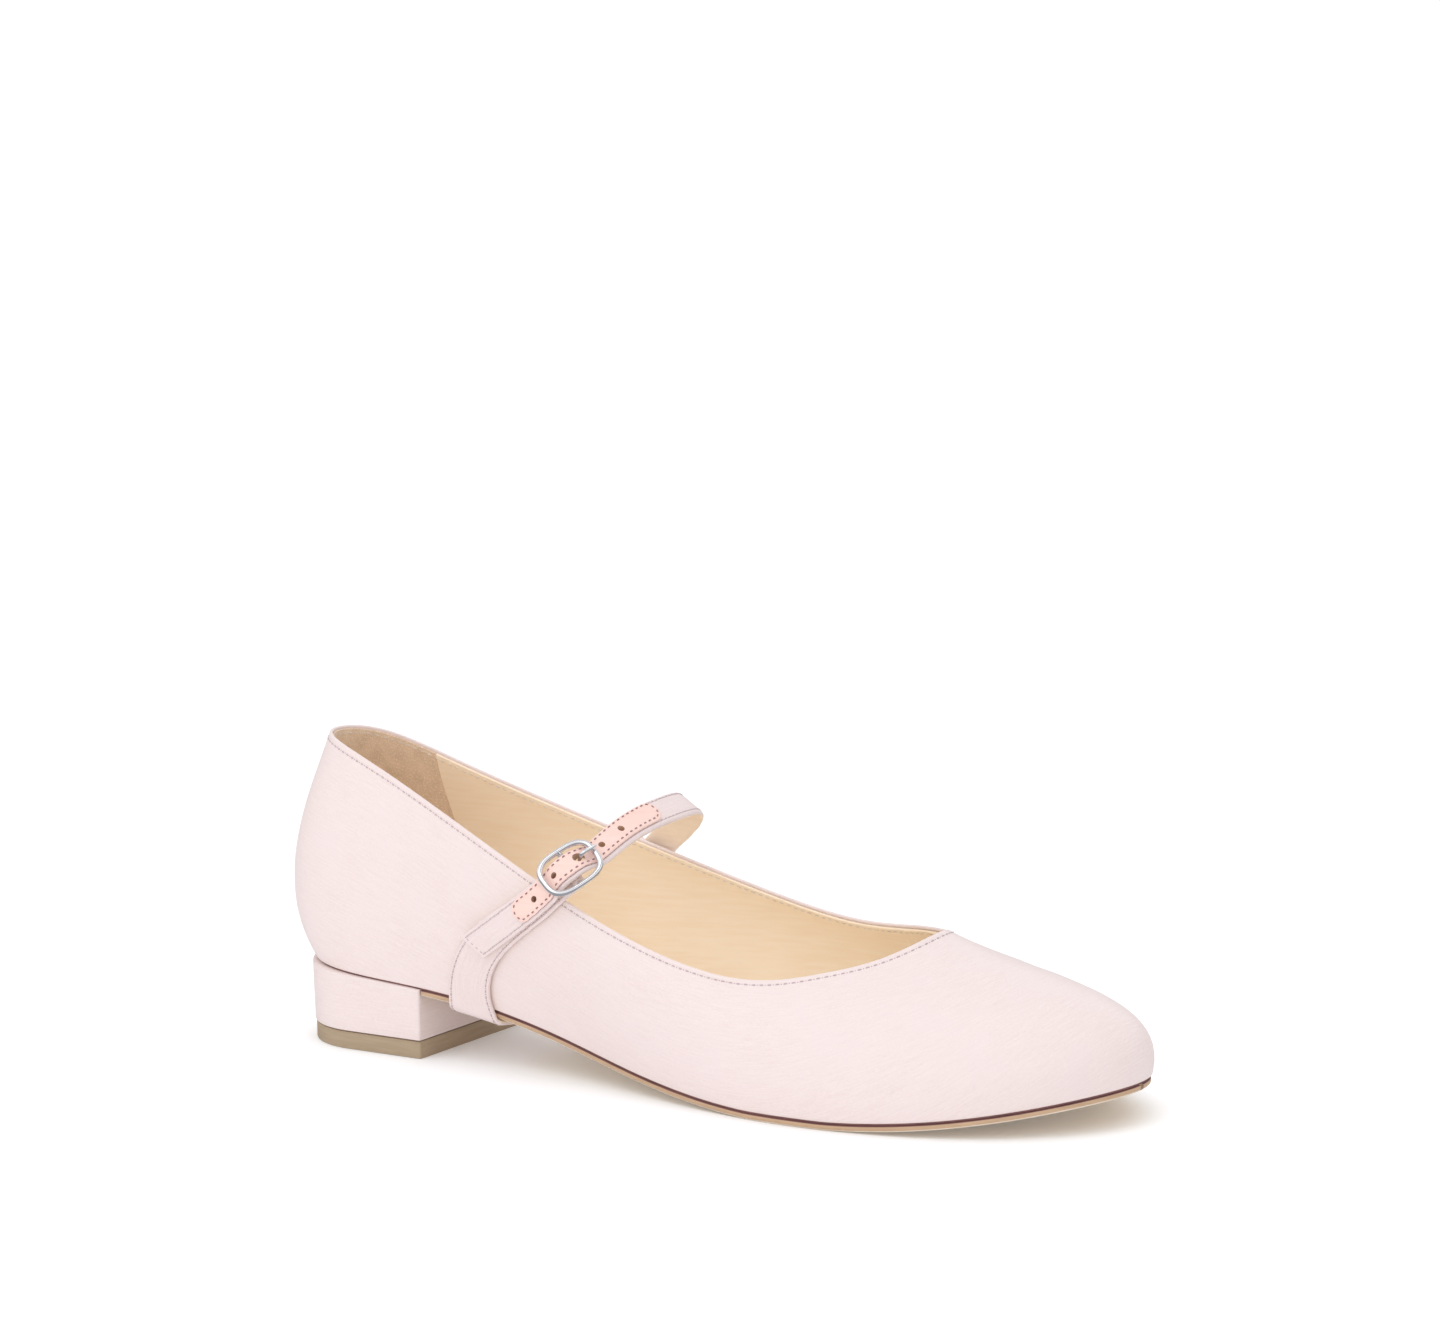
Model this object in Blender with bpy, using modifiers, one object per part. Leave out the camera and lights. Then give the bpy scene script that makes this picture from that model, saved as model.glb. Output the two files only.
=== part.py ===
"""A right bar shoe in satin: round toe, low covered block heel, and a narrow strap
that runs under the arch and buckles over the instep. Metres, +Z up, toe towards +X,
lateral side towards -Y. The origin is the middle of the heel lift's underside."""
import math

import bmesh
import bpy
import numpy as np
from mathutils import Matrix, Vector

MM = 0.001

# ---------------------------------------------------------------- named sizes
LENGTH = 246 * MM           # feather line, back of the heel to the tip of the toe
BALL_WIDTH = 80 * MM        # feather line across the ball
SEAT_HEIGHT = 21.5 * MM     # feather line above the floor at the back of the heel
TOE_SPRING = 8.9 * MM       # rise of the feather line from the tread to the toe tip
BACK_HEIGHT = 80 * MM       # back of the collar above the floor
INSTEP_LATERAL = 6 * MM     # reach of the instep's curve above the lateral collar
INSTEP_MEDIAL = 46 * MM     # and above the medial collar, where it turns down sooner
INSTEP_TWIST = (-0.5, 1.2)  # what each reach gains per length towards the heel
INSTEP_AT = 0.41            # share of LENGTH where it gains nothing
INSTEP_SPAN = 0.07          # and the share on each side of that where it changes
WALL = 1.6 * MM             # upper: satin, backing and lining together
GAP = 0.3 * MM              # clearance between two pieces that meet

SOLE = 1.8 * MM             # outsole thickness
SOLE_MARGIN = 0.3 * MM      # outsole's edge inside the feather line
SOLE_CHAMFER = 0.5 * MM     # along the outsole's lower edge
INSOLE = 1.6 * MM           # insole thickness

HEEL_LENGTH = 47.8 * MM     # back of the last to the heel breast
HEEL_WIDTH = 48.8 * MM      # block's top, across the breast
HEEL_OVERHANG = 0.3 * MM    # block's top behind the back of the feather line
HEEL_TAPER = 0.3 * MM       # inset of the block's foot
HEEL_CORNER = 0.7 * MM      # chamfer of the breast's upright corners
HEEL_TURN = math.radians(2)  # the block turns towards the lateral side
LIFT = 4.6 * MM             # heel lift thickness
LIFT_INSET = 0.3 * MM       # lift's edge inside the block's foot

SLING_WIDTH = 12.5 * MM     # under-arch strap at the waist
SLING = 1.3 * MM            # its thickness
CHAPE_WIDTH = 7.6 * MM      # its buckle end
STRAP_WIDTH = 8.0 * MM      # instep strap
STRAP = 1.3 * MM            # its thickness
PATCH_WIDTH = 6.4 * MM      # leather patch with the holes
PATCH = 0.6 * MM            # its thickness
PATCH_SEAT = 0.15 * MM      # sewn seat between patch and strap
HOLE = 1.7 * MM             # punched hole's diameter
HOLE_PITCH = 7.1 * MM
HOLE_COUNT = 5
PRONG_HOLE = 2.9 * MM       # hole stretched by the prong
PRONG_PULL = 0.15 * MM      # and drawn towards the frame's end
PRONG_SIDE = -0.7 * MM      # prong beside the bar's middle, in line with its hole

FRAME_LENGTH = 16.6 * MM    # buckle frame outside, along the strap
FRAME_WIDTH = 13.9 * MM     # buckle frame outside, across the strap
FRAME_WIRE = 1.55 * MM      # diameter of its wire
BAR_WIRE = 1.5 * MM         # diameter of the centre bar
EYE_WALL = 0.65 * MM        # leather round the bar
EYE_PLAY = 0.2 * MM         # clearance round the bar
EYE_CLEARANCE = 0.55 * MM   # instep strap over the eye, which is flat where the strap curves
PRONG_WIRE = 1.0 * MM

# ---------------------------------------------------------------- sections
# One row for each section round the shoe, heel to lateral side to toe to medial side.
# x: shares of LENGTH. y and bulge: shares of BALL_WIDTH. rise and z: shares of BACK_HEIGHT.
# The wall leaves the feather line by its bulge and rise, turns at its shoulder, ends at the collar.
UPPER_COLUMNS = ("row", "feather_x", "feather_y", "bulge", "rise",
                 "shoulder_x", "shoulder_y", "shoulder_z", "collar_x", "collar_y", "collar_z")
UPPER_ROWS = (
    ("heel_back",  0.009,  0.000, 0.180, 0.250,  0.002,  0.019, 0.788,  0.020,  0.031, 1.000),
    ("heel_lat",   0.043, -0.218, 0.135, 0.250,  0.026, -0.175, 0.788,  0.048, -0.125, 0.996),
    ("seat_lat",   0.140, -0.310, 0.069, 0.250,  0.138, -0.300, 0.725,  0.138, -0.225, 0.918),
    ("waist_lat",  0.329, -0.300, 0.062, 0.225,  0.329, -0.388, 0.525,  0.325, -0.338, 0.684),
    ("girth_lat",  0.480, -0.400, 0.056, 0.175,  0.480, -0.456, 0.388,  0.467, -0.388, 0.510),
    ("ball_lat",   0.638, -0.500, 0.044, 0.138,  0.618, -0.512, 0.300,  0.598, -0.390, 0.422),
    ("joint_lat",  0.780, -0.480, 0.044, 0.150,  0.724, -0.450, 0.350,  0.683, -0.319, 0.448),
    ("toe_lat",    0.915, -0.315, 0.056, 0.225,  0.800, -0.285, 0.378,  0.736, -0.184, 0.492),
    ("toe_tip",    0.992,  0.020, 0.088, 0.290,  0.855,  0.010, 0.392,  0.763,  0.000, 0.541),
    ("toe_med",    0.931,  0.320, 0.056, 0.238,  0.800,  0.285, 0.385,  0.738,  0.180, 0.506),
    ("joint_med",  0.821,  0.470, 0.044, 0.162,  0.732,  0.450, 0.362,  0.683,  0.319, 0.474),
    ("ball_med",   0.691,  0.500, 0.044, 0.150,  0.630,  0.512, 0.312,  0.598,  0.390, 0.454),
    ("girth_med",  0.520,  0.400, 0.062, 0.175,  0.496,  0.475, 0.388,  0.480,  0.391, 0.520),
    ("waist_med",  0.341,  0.260, 0.088, 0.225,  0.333,  0.388, 0.525,  0.325,  0.338, 0.665),
    ("seat_med",   0.140,  0.310, 0.069, 0.250,  0.138,  0.338, 0.662,  0.138,  0.281, 0.850),
    ("heel_med",   0.043,  0.218, 0.130, 0.250,  0.026,  0.212, 0.755,  0.048,  0.181, 0.968),
)

# Feather line's height along the shoe. along: share of LENGTH. seat: share of the heel seat's
# height over the tread. spring: share of TOE_SPRING.
BOTTOM_COLUMNS = ("row", "along", "seat", "spring")
BOTTOM_ROWS = (
    ("heel",      0.00, 1.000, 0.000),
    ("seat",      0.08, 0.952, 0.000),
    ("seat_end",  0.17, 0.887, 0.000),
    ("breast",    0.24, 0.780, 0.000),
    ("waist",     0.34, 0.522, 0.000),
    ("arch",      0.44, 0.263, 0.000),
    ("girth",     0.54, 0.081, 0.000),
    ("ball",      0.62, 0.005, 0.000),
    ("tread",     0.72, 0.000, 0.000),
    ("toes",      0.80, 0.000, 0.136),
    ("toe_rise",  0.90, 0.000, 0.494),
    ("toe",       1.00, 0.000, 1.000),
)

# Straps run on the shoe's girth. around: share of the girth, from the middle of the sole up
# the lateral side, over the instep and down the medial side. along: share of LENGTH.
# width: share of the strap's own width.
STRAP_COLUMNS = ("row", "around", "along", "width")
SLING_ROWS = (
    ("medial_end",  -0.290, 0.345, 0.84),
    ("medial_wall", -0.205, 0.287, 0.90),
    ("medial_edge", -0.130, 0.258, 1.04),
    ("under_med",   -0.090, 0.264, 1.22),
    ("under_arch",   0.000, 0.270, 1.30),
    ("under_lat",    0.090, 0.264, 1.22),
    ("edge",         0.130, 0.258, 1.04),
    ("wall",         0.205, 0.2925, 0.86),
    ("collar",       0.290, 0.369, 0.66),
    ("buckle",       0.335, 0.3935, 0.61),
)
OVER_ROWS = (
    ("tip",          0.192, 0.2745, 1.00),
    ("wall",         0.255, 0.337, 1.00),
    ("buckle",       0.335, 0.393, 1.00),
    ("rise",         0.430, 0.418, 1.00),
    ("crown",        0.530, 0.429, 1.00),
    ("fall",         0.630, 0.404, 1.00),
    ("medial_wall",  0.710, 0.350, 1.00),
    ("medial_end",   0.770, 0.306, 1.00),
)
BUCKLE_AROUND = 0.335       # share of the girth where the buckle's bar lies
TIP_TO_PATCH = 18.3 * MM      # plain tip beyond the patch
PATCH_LENGTH = 49.3 * MM
PRONG_HOLE_REACH = 3.4 * MM  # prong's hole ahead of the bar


def table(columns, rows):
    """The numeric columns of a table by name."""
    return {name: np.array([row[i] for row in rows], float)
            for i, name in enumerate(columns) if i}


def natural_spline(xs, ys, x):
    """Natural cubic spline through (xs, ys), ys with one or more columns, read at x."""
    xs, ys, x = np.asarray(xs, float), np.asarray(ys, float), np.asarray(x, float)
    n, step = len(xs), np.diff(xs)
    system, load_side = np.eye(n), np.zeros(ys.shape)
    for i in range(1, n - 1):
        system[i, i - 1:i + 2] = step[i - 1], 2 * (step[i - 1] + step[i]), step[i]
        load_side[i] = 6 * ((ys[i + 1] - ys[i]) / step[i] - (ys[i] - ys[i - 1]) / step[i - 1])
    bend = np.linalg.solve(system, load_side)
    i = np.clip(np.searchsorted(xs, x) - 1, 0, n - 2)
    t, h = x - xs[i], step[i]
    if ys.ndim > 1:
        t, h = t[:, None], h[:, None]
    return ((bend[i] * (h - t) ** 3 + bend[i + 1] * t ** 3) / (6 * h)
            + (ys[i] / h - bend[i] * h / 6) * (h - t) + (ys[i + 1] / h - bend[i + 1] * h / 6) * t)


def closed_spline(knots, points, u):
    """Periodic cubic spline through points at knots 0..1, read at u."""
    n, step = len(points), np.diff(knots)
    system, load_side = np.zeros((n, n)), np.zeros(points.shape)
    for i in range(n):
        before, after = step[i - 1], step[i]
        system[i, i - 1] += before
        system[i, i] += 2 * (before + after)
        system[i, (i + 1) % n] += after
        load_side[i] = 6 * ((points[(i + 1) % n] - points[i]) / after
                            - (points[i] - points[i - 1]) / before)
    bend = np.linalg.solve(system, load_side)
    u = np.asarray(u, float) % 1.0
    i = np.clip(np.searchsorted(knots, u, side="right") - 1, 0, n - 1)
    t, h, j = (u - knots[i])[:, None], step[i][:, None], (i + 1) % n
    return ((bend[i] * (h - t) ** 3 + bend[j] * t ** 3) / (6 * h)
            + (points[i] / h - bend[i] * h / 6) * (h - t) + (points[j] / h - bend[j] * h / 6) * t)


TREAD = SOLE + GAP          # feather line over the flat of the tread


def bottom_z(x):
    """Height of the feather line at x."""
    rows = table(BOTTOM_COLUMNS, BOTTOM_ROWS)
    share = np.clip(np.asarray(x, float) / LENGTH, 0.0, 1.0)
    seat = natural_spline(rows["along"], rows["seat"], share)
    spring = natural_spline(rows["along"], rows["spring"], share)
    return TREAD + np.maximum(seat, 0.0) * (SEAT_HEIGHT - TREAD) + np.maximum(spring, 0.0) * TOE_SPRING


def upper_loops():
    """The four control loops of the upper (feather, wall, shoulder, collar) and their knots."""
    rows = table(UPPER_COLUMNS, UPPER_ROWS)
    feather = np.column_stack([rows["feather_x"] * LENGTH, rows["feather_y"] * BALL_WIDTH,
                               bottom_z(rows["feather_x"] * LENGTH)])
    along = (np.roll(feather, -1, 0) - np.roll(feather, 1, 0))[:, :2]
    along /= np.linalg.norm(along, axis=1)[:, None]
    outward = np.column_stack([along[:, 1], -along[:, 0]])
    wall = feather.copy()
    wall[:, :2] += outward * (rows["bulge"] * BALL_WIDTH)[:, None]
    wall[:, 2] += rows["rise"] * BACK_HEIGHT
    shoulder = np.column_stack([rows["shoulder_x"] * LENGTH, rows["shoulder_y"] * BALL_WIDTH,
                                rows["shoulder_z"] * BACK_HEIGHT])
    collar = np.column_stack([rows["collar_x"] * LENGTH, rows["collar_y"] * BALL_WIDTH,
                              rows["collar_z"] * BACK_HEIGHT])
    chord = np.linalg.norm((np.roll(feather, -1, 0) - feather)[:, :2], axis=1) ** 0.5
    knots = np.concatenate([[0.0], np.cumsum(chord)]) / np.sum(chord)
    return knots, (feather, wall, shoulder, collar)


def upper_grid(columns, heights):
    """Points of the upper's outside: columns round the shoe, heights 0 (feather) to 1 (collar)."""
    knots, loops = upper_loops()
    u = np.arange(columns) / columns
    feather, wall, shoulder, collar = (closed_spline(knots, loop, u) for loop in loops)
    feather[:, 2] = bottom_z(feather[:, 0])
    v = np.asarray(heights, float)[None, :, None]
    return (feather[:, None] * (1 - v) ** 3 + 3 * wall[:, None] * v * (1 - v) ** 2
            + 3 * shoulder[:, None] * v ** 2 * (1 - v) + collar[:, None] * v ** 3)


OUTLINE_COLUMNS = 720
FEATHER = upper_grid(OUTLINE_COLUMNS, (0.0,))[:, 0, :2]


def feather_inset(inset):
    """The feather line moved inwards: lateral and medial halves, each heel to toe."""
    along = np.roll(FEATHER, -1, 0) - np.roll(FEATHER, 1, 0)
    along /= np.linalg.norm(along, axis=1)[:, None]
    line = FEATHER - np.column_stack([along[:, 1], -along[:, 0]]) * inset
    line = np.roll(line, -int(np.argmin(line[:, 0])), 0)
    toe = int(np.argmax(line[:, 0]))
    return line[:toe + 1], np.vstack([line[toe:], line[:1]])[::-1]


def paired_edges(inset, stations, start=None):
    """Lateral and medial points of an inset feather outline at matching stations, heel to toe.
    start, if given, holds where the lateral and the medial edge begin."""
    edges = []
    for side, half in enumerate(feather_inset(inset)):
        first = half[0, 0] if start is None else start[side]
        share = (1 - np.cos(np.pi * stations)) / 2 if start is None else np.sin(np.pi * stations / 2)
        x = first + (half[-1, 0] - first) * share
        edges.append(np.column_stack([x, np.interp(x, half[:, 0], half[:, 1])]))
    return edges


# ---------------------------------------------------------------- building
for old in list(bpy.data.objects):
    bpy.data.objects.remove(old, do_unlink=True)
for old in list(bpy.data.collections):
    bpy.data.collections.remove(old)

shoe = bpy.data.collections.new("bar_shoe")
cutters = bpy.data.collections.new("cutters")
bpy.context.scene.collection.children.link(shoe)
bpy.context.scene.collection.children.link(cutters)

ORIGIN_X = HEEL_LENGTH / 2
last = bpy.data.objects.new("last_frame", None)
last.location = (-ORIGIN_X, 0.0, 0.0)
shoe.objects.link(last)


def principled(name, colour, roughness, metallic=0.0):
    """A plain surface."""
    material = bpy.data.materials.new(name)
    material.use_nodes = True
    surface = material.node_tree.nodes["Principled BSDF"]
    surface.inputs["Base Color"].default_value = (*colour, 1.0)
    surface.inputs["Roughness"].default_value = roughness
    surface.inputs["Metallic"].default_value = metallic
    return material


def add_object(name, mesh, material, collection=shoe):
    """An object in the last's frame."""
    obj = bpy.data.objects.new(name, mesh)
    collection.objects.link(obj)
    obj.parent = last
    if material is not None:
        mesh.materials.append(material)
    return obj


def add_cutter(name, mesh):
    """A helper that shapes other pieces and isn't a piece itself."""
    obj = add_object(name, mesh, None, cutters)
    obj.hide_render = True
    obj.display_type = "WIRE"
    return obj


def boolean(obj, helper, operation):
    """Cut or join with a helper."""
    modifier = obj.modifiers.new(helper.name, "BOOLEAN")
    modifier.operation = operation
    modifier.solver = "EXACT"
    modifier.object = helper


def loft_mesh(name, rings, closed_along=False):
    """A mesh through rings of equally many points. Ends are capped unless the rings close."""
    count, around = len(rings), len(rings[0])
    bm = bmesh.new()
    verts = [[bm.verts.new(Vector(point)) for point in ring] for ring in rings]
    for i in range(count if closed_along else count - 1):
        here, there = verts[i], verts[(i + 1) % count]
        for k in range(around):
            bm.faces.new((here[k], here[(k + 1) % around], there[(k + 1) % around], there[k]))
    if not closed_along:
        bm.faces.new(verts[0])
        bm.faces.new(verts[-1])
    bmesh.ops.recalc_face_normals(bm, faces=bm.faces)
    mesh = bpy.data.meshes.new(name)
    bm.to_mesh(mesh)
    bm.free()
    mesh.shade_smooth()
    mesh.set_sharp_from_angle(angle=math.radians(35))
    return mesh


def slab_mesh(name, levels):
    """A slab lofted along the shoe. Each level, lowest first, has lateral points, medial
    points and a function for their heights."""
    rings = []
    for k in range(len(levels[0][0])):
        lateral = [(edge[k, 0], edge[k, 1], float(height(edge[k, 0]))) for edge, _, height in levels]
        medial = [(edge[k, 0], edge[k, 1], float(height(edge[k, 0]))) for _, edge, height in levels]
        rings.append(lateral + medial[::-1])
    return loft_mesh(name, rings)


satin = principled("satin", (0.91, 0.78, 0.74), 0.45)
tan_leather = principled("tan_leather", (0.60, 0.42, 0.24), 0.55)
beige_lining = principled("beige_lining", (0.85, 0.68, 0.45), 0.6)
taupe_rubber = principled("taupe_rubber", (0.40, 0.33, 0.25), 0.6)
peach_leather = principled("peach_leather", (1.0, 0.74, 0.66), 0.5)
silver = principled("silver", (0.80, 0.80, 0.82), 0.12, 1.0)

# ---------------------------------------------------------------- upper
UPPER_AROUND = 88
UPPER_HEIGHTS = 12
grid = upper_grid(UPPER_AROUND, np.linspace(0.0, 1.0, UPPER_HEIGHTS + 1))
bm = bmesh.new()
verts = [[bm.verts.new(Vector(point)) for point in column] for column in grid]
for i in range(UPPER_AROUND):
    here, there = verts[i], verts[(i + 1) % UPPER_AROUND]
    for k in range(UPPER_HEIGHTS):
        bm.faces.new((here[k], there[k], there[k + 1], here[k + 1]))
upper_mesh = bpy.data.meshes.new("upper")
bm.to_mesh(upper_mesh)
bm.free()
upper_mesh.shade_smooth()
upper = add_object("upper", upper_mesh, satin)
shell = upper.modifiers.new("wall", "SOLIDIFY")
shell.thickness = WALL
shell.offset = -1.0
shell.use_even_offset = True
shell.use_quality_normals = True

# ---------------------------------------------------------------- insole and outsole
SOLE_STATIONS = 40
stations = np.linspace(0.0, 1.0, SOLE_STATIONS + 1)[1:-1]


def raised(offset):
    """A height that follows the feather line."""
    return lambda x: bottom_z(x) + offset


INSOLE_EDGE = WALL + GAP * 2
insole_edges = paired_edges(INSOLE_EDGE, stations)
insole = add_object("insole", slab_mesh("insole", [(*insole_edges, raised(0.0)),
                                                   (*insole_edges, raised(INSOLE))]), beige_lining)


def turned(points):
    """The heel block's own turn about its middle, seen from above."""
    middle = np.array([ORIGIN_X, 0.0])
    c, s = math.cos(-HEEL_TURN), math.sin(-HEEL_TURN)
    return (points - middle) @ np.array([[c, s], [-s, c]]) + middle


def heel_edges(inset, corner=HEEL_CORNER, back=20):
    """Lateral and medial points of the heel's U, back to breast."""
    half = HEEL_WIDTH / 2 - inset
    reach = ORIGIN_X - FEATHER[:, 0].min() + HEEL_OVERHANG - inset
    angle = np.linspace(0.0, math.pi / 2, back + 1)[1:]
    x = np.concatenate([ORIGIN_X - reach * np.cos(angle), [HEEL_LENGTH - corner, HEEL_LENGTH]])
    y = np.concatenate([half * np.sin(angle), [half, half - corner]])
    return turned(np.column_stack([x, -y])), turned(np.column_stack([x, y]))


def flat(height):
    """A level height."""
    return lambda x: height


block_top = raised(-GAP)
heel_block = add_object("heel_block", slab_mesh("heel_block", [
    (*heel_edges(HEEL_TAPER), flat(LIFT + GAP)), (*heel_edges(0.0), block_top)]), satin)
heel_lift = add_object("heel_lift", slab_mesh("heel_lift", [
    (*heel_edges(HEEL_TAPER + LIFT_INSET), flat(0.0)),
    (*heel_edges(HEEL_TAPER + LIFT_INSET), flat(LIFT))]), taupe_rubber)

breast = [edge[-1, 0] + GAP + math.tan(HEEL_TURN) * HEEL_CORNER for edge in heel_edges(0.0)]
sole_stations = np.concatenate([[0.0], stations])
sole_edges = paired_edges(SOLE_MARGIN, sole_stations, breast)
sole_foot = paired_edges(SOLE_MARGIN + SOLE_CHAMFER, sole_stations, breast)


def tread(offset):
    """The outsole's lower side: flat on the floor at the tread."""
    return lambda x: np.maximum(bottom_z(x) - TREAD, 0.0) + offset


outsole = add_object("outsole", slab_mesh("outsole", [
    (*sole_foot, tread(0.0)), (*sole_edges, tread(SOLE_CHAMFER)),
    (*sole_edges, raised(-GAP))]), tan_leather)

# ---------------------------------------------------------------- girth
GIRTH_FROM, GIRTH_TO = 0.20, 0.54   # part of LENGTH that the straps may reach
GIRTH_SECTIONS = 43
GIRTH_SAMPLES = 900
EDGE_SHARE, COLLAR_SHARE = 0.115, 0.300  # shares of the girth at the sole's edge and the collar
WALL_HEIGHTS = np.linspace(0.0, 1.0, 13)
FIRST_LAYER = GAP + SLING / 2       # height of the sampled surface over the shoe


def girth_section(x, walls, edges):
    """The closed section (y, z) of sole, upper and instep at x, from the middle of the sole."""
    sides = []
    for side in (0, 1):
        wall = [(np.interp(x, line[:, 0], line[:, 1]), np.interp(x, line[:, 0], line[:, 2]))
                for line in walls[side]]
        edge_y = np.interp(x, edges[side][:, 0], edges[side][:, 1])
        low = float(tread(0.0)(x))
        sides.append(np.array([((edge_y * 0.05), low), (edge_y * 0.97, low),
                               (edge_y, low + SOLE_CHAMFER)] + wall))
    lateral, medial = sides
    handles = []
    back = np.clip(INSTEP_AT - x / LENGTH, -INSTEP_SPAN, INSTEP_SPAN) * LENGTH
    for side, reach, twist in zip(sides, (INSTEP_LATERAL, INSTEP_MEDIAL), INSTEP_TWIST):
        lean = side[-1] - side[-3]
        handles.append(side[-1] + lean / np.linalg.norm(lean) * (reach + twist * back))
    t = np.linspace(0.0, 1.0, 25)[1:-1, None]
    arch = (lateral[-1] * (1 - t) ** 3 + 3 * handles[0] * t * (1 - t) ** 2
            + 3 * handles[1] * t ** 2 * (1 - t) + medial[-1] * t ** 3)
    points = np.vstack([lateral, arch, medial[::-1]])
    edge, collar = 2, len(lateral) - 1
    return points, (edge, collar, len(points) - 1 - collar, len(points) - 1 - edge)


def offset_closed(points, landmarks, height):
    """A closed section moved outwards with round corners: points and normals by share, with
    the sole's edges and the collars at the same shares in every section."""
    ahead = np.roll(points, -1, 0) - points
    angle = np.unwrap(np.arctan2(ahead[:, 1], ahead[:, 0]) + math.pi / 2)
    moved, normals, marks = [], [], []
    for i in range(len(points)):
        if i in landmarks:
            marks.append(len(moved) + 2)
        before = angle[i - 1] - (2 * math.pi if i == 0 and angle[-1] > angle[0] else 0.0)
        before = before + (2 * math.pi if i == 0 and angle[-1] < angle[0] - math.pi else 0.0)
        for a in np.linspace(before, angle[i], 5):
            normal = np.array([math.cos(a), math.sin(a)])
            moved.append(points[i] + normal * height)
            normals.append(normal)
    moved, normals = np.array(moved), np.array(normals)
    moved, normals = np.vstack([moved, moved[:1]]), np.vstack([normals, normals[:1]])
    length = np.concatenate([[0.0], np.cumsum(np.linalg.norm(np.diff(moved, axis=0), axis=1))])
    shares = (0.0, EDGE_SHARE, COLLAR_SHARE, 1 - COLLAR_SHARE, 1 - EDGE_SHARE, 1.0)
    q = np.interp(np.linspace(0.0, 1.0, GIRTH_SAMPLES + 1), shares,
                  [0.0, *length[marks], length[-1]])
    return (np.column_stack([np.interp(q, length, moved[:, k]) for k in (0, 1)]),
            np.column_stack([np.interp(q, length, normals[:, k]) for k in (0, 1)]))


def girth_surface():
    """Sampled sections for girth_point."""
    fine = upper_grid(OUTLINE_COLUMNS, WALL_HEIGHTS)
    walls = ([], [])
    for k in range(len(WALL_HEIGHTS)):
        line = fine[:, k]
        line = np.roll(line, -int(np.argmin(line[:, 0])), 0)
        front = int(np.argmax(line[:, 0]))
        walls[0].append(line[:front + 1])
        walls[1].append(line[front:][::-1])
    edges = feather_inset(SOLE_MARGIN)
    xs = np.linspace(GIRTH_FROM, GIRTH_TO, GIRTH_SECTIONS) * LENGTH
    sections = [offset_closed(*girth_section(x, walls, edges), FIRST_LAYER) for x in xs]
    return xs, np.array([s[0] for s in sections]), np.array([s[1] for s in sections])


GIRTH_X, GIRTH_POINTS, GIRTH_NORMALS = girth_surface()


def girth_point(x, around, height):
    """Point at height over the shoe's surface; around is a share of the girth."""
    f = np.clip((x - GIRTH_X[0]) / (GIRTH_X[-1] - GIRTH_X[0]), 0.0, 1.0) * (GIRTH_SECTIONS - 1)
    i = min(int(f), GIRTH_SECTIONS - 2)
    f -= i
    g = (around % 1.0) * GIRTH_SAMPLES
    k = min(int(g), GIRTH_SAMPLES - 1)
    g -= k

    def read(values):
        low = values[i, k] * (1 - g) + values[i, k + 1] * g
        high = values[i + 1, k] * (1 - g) + values[i + 1, k + 1] * g
        return low * (1 - f) + high * f

    point, normal = read(GIRTH_POINTS), read(GIRTH_NORMALS)
    normal /= np.linalg.norm(normal)
    point = point + normal * (height - FIRST_LAYER)
    return np.array([x, point[0], point[1]])


class StrapPath:
    """A strap's middle line on the girth, with its length and its own directions."""

    def __init__(self, rows, width):
        self.rows = table(STRAP_COLUMNS, rows)
        self.width = width
        self.first, self.last = self.rows["around"][0], self.rows["around"][-1]
        self.around = np.linspace(self.first, self.last, 400)
        points = np.array([girth_point(self.along(q), q, FIRST_LAYER) for q in self.around])
        steps = np.linalg.norm(np.diff(points, axis=0), axis=1)
        self.length = np.concatenate([[0.0], np.cumsum(steps)])

    def along(self, q):
        return float(natural_spline(self.rows["around"], self.rows["along"], [q])[0]) * LENGTH

    def width_at(self, q):
        return float(natural_spline(self.rows["around"], self.rows["width"], [q])[0]) * self.width

    def around_at(self, length):
        return float(np.interp(length, self.length, self.around))

    def length_at(self, q):
        return float(np.interp(q, self.around, self.length))

    def across(self, q):
        """Steps in x and around that move one unit across the strap, forwards, and the
        strap's direction. Low on the shoe a section stays level, so that it bends squarely
        round the sole's edge; from the collar up it is square to the strap."""
        x, dx, dq = self.along(q), 0.5 * MM, 0.001
        by_x = (girth_point(x + dx, q, FIRST_LAYER) - girth_point(x - dx, q, FIRST_LAYER)) / (2 * dx)
        by_q = (girth_point(x, q + dq, FIRST_LAYER) - girth_point(x, q - dq, FIRST_LAYER)) / (2 * dq)
        ahead = by_x * (self.along(q + dq) - self.along(q - dq)) / (2 * dq) + by_q
        ahead /= np.linalg.norm(ahead)
        height = abs((q + 0.5) % 1.0 - 0.5)
        square = np.clip((height - EDGE_SHARE * 1.2) / (COLLAR_SHARE - EDGE_SHARE * 1.2), 0.0, 1.0)
        turn = -(by_x @ ahead) / (by_q @ ahead) * square
        step = by_x + turn * by_q
        size = np.linalg.norm(step - (step @ ahead) * ahead)
        return 1.0 / size, turn / size, ahead

    def point(self, q, sideways, height):
        step_x, step_q, _ = self.across(q)
        return girth_point(self.along(q) + step_x * sideways, q + step_q * sideways, height)


ACROSS = np.array([-1.0, -0.5, 0.0, 0.5, 1.0])


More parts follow.
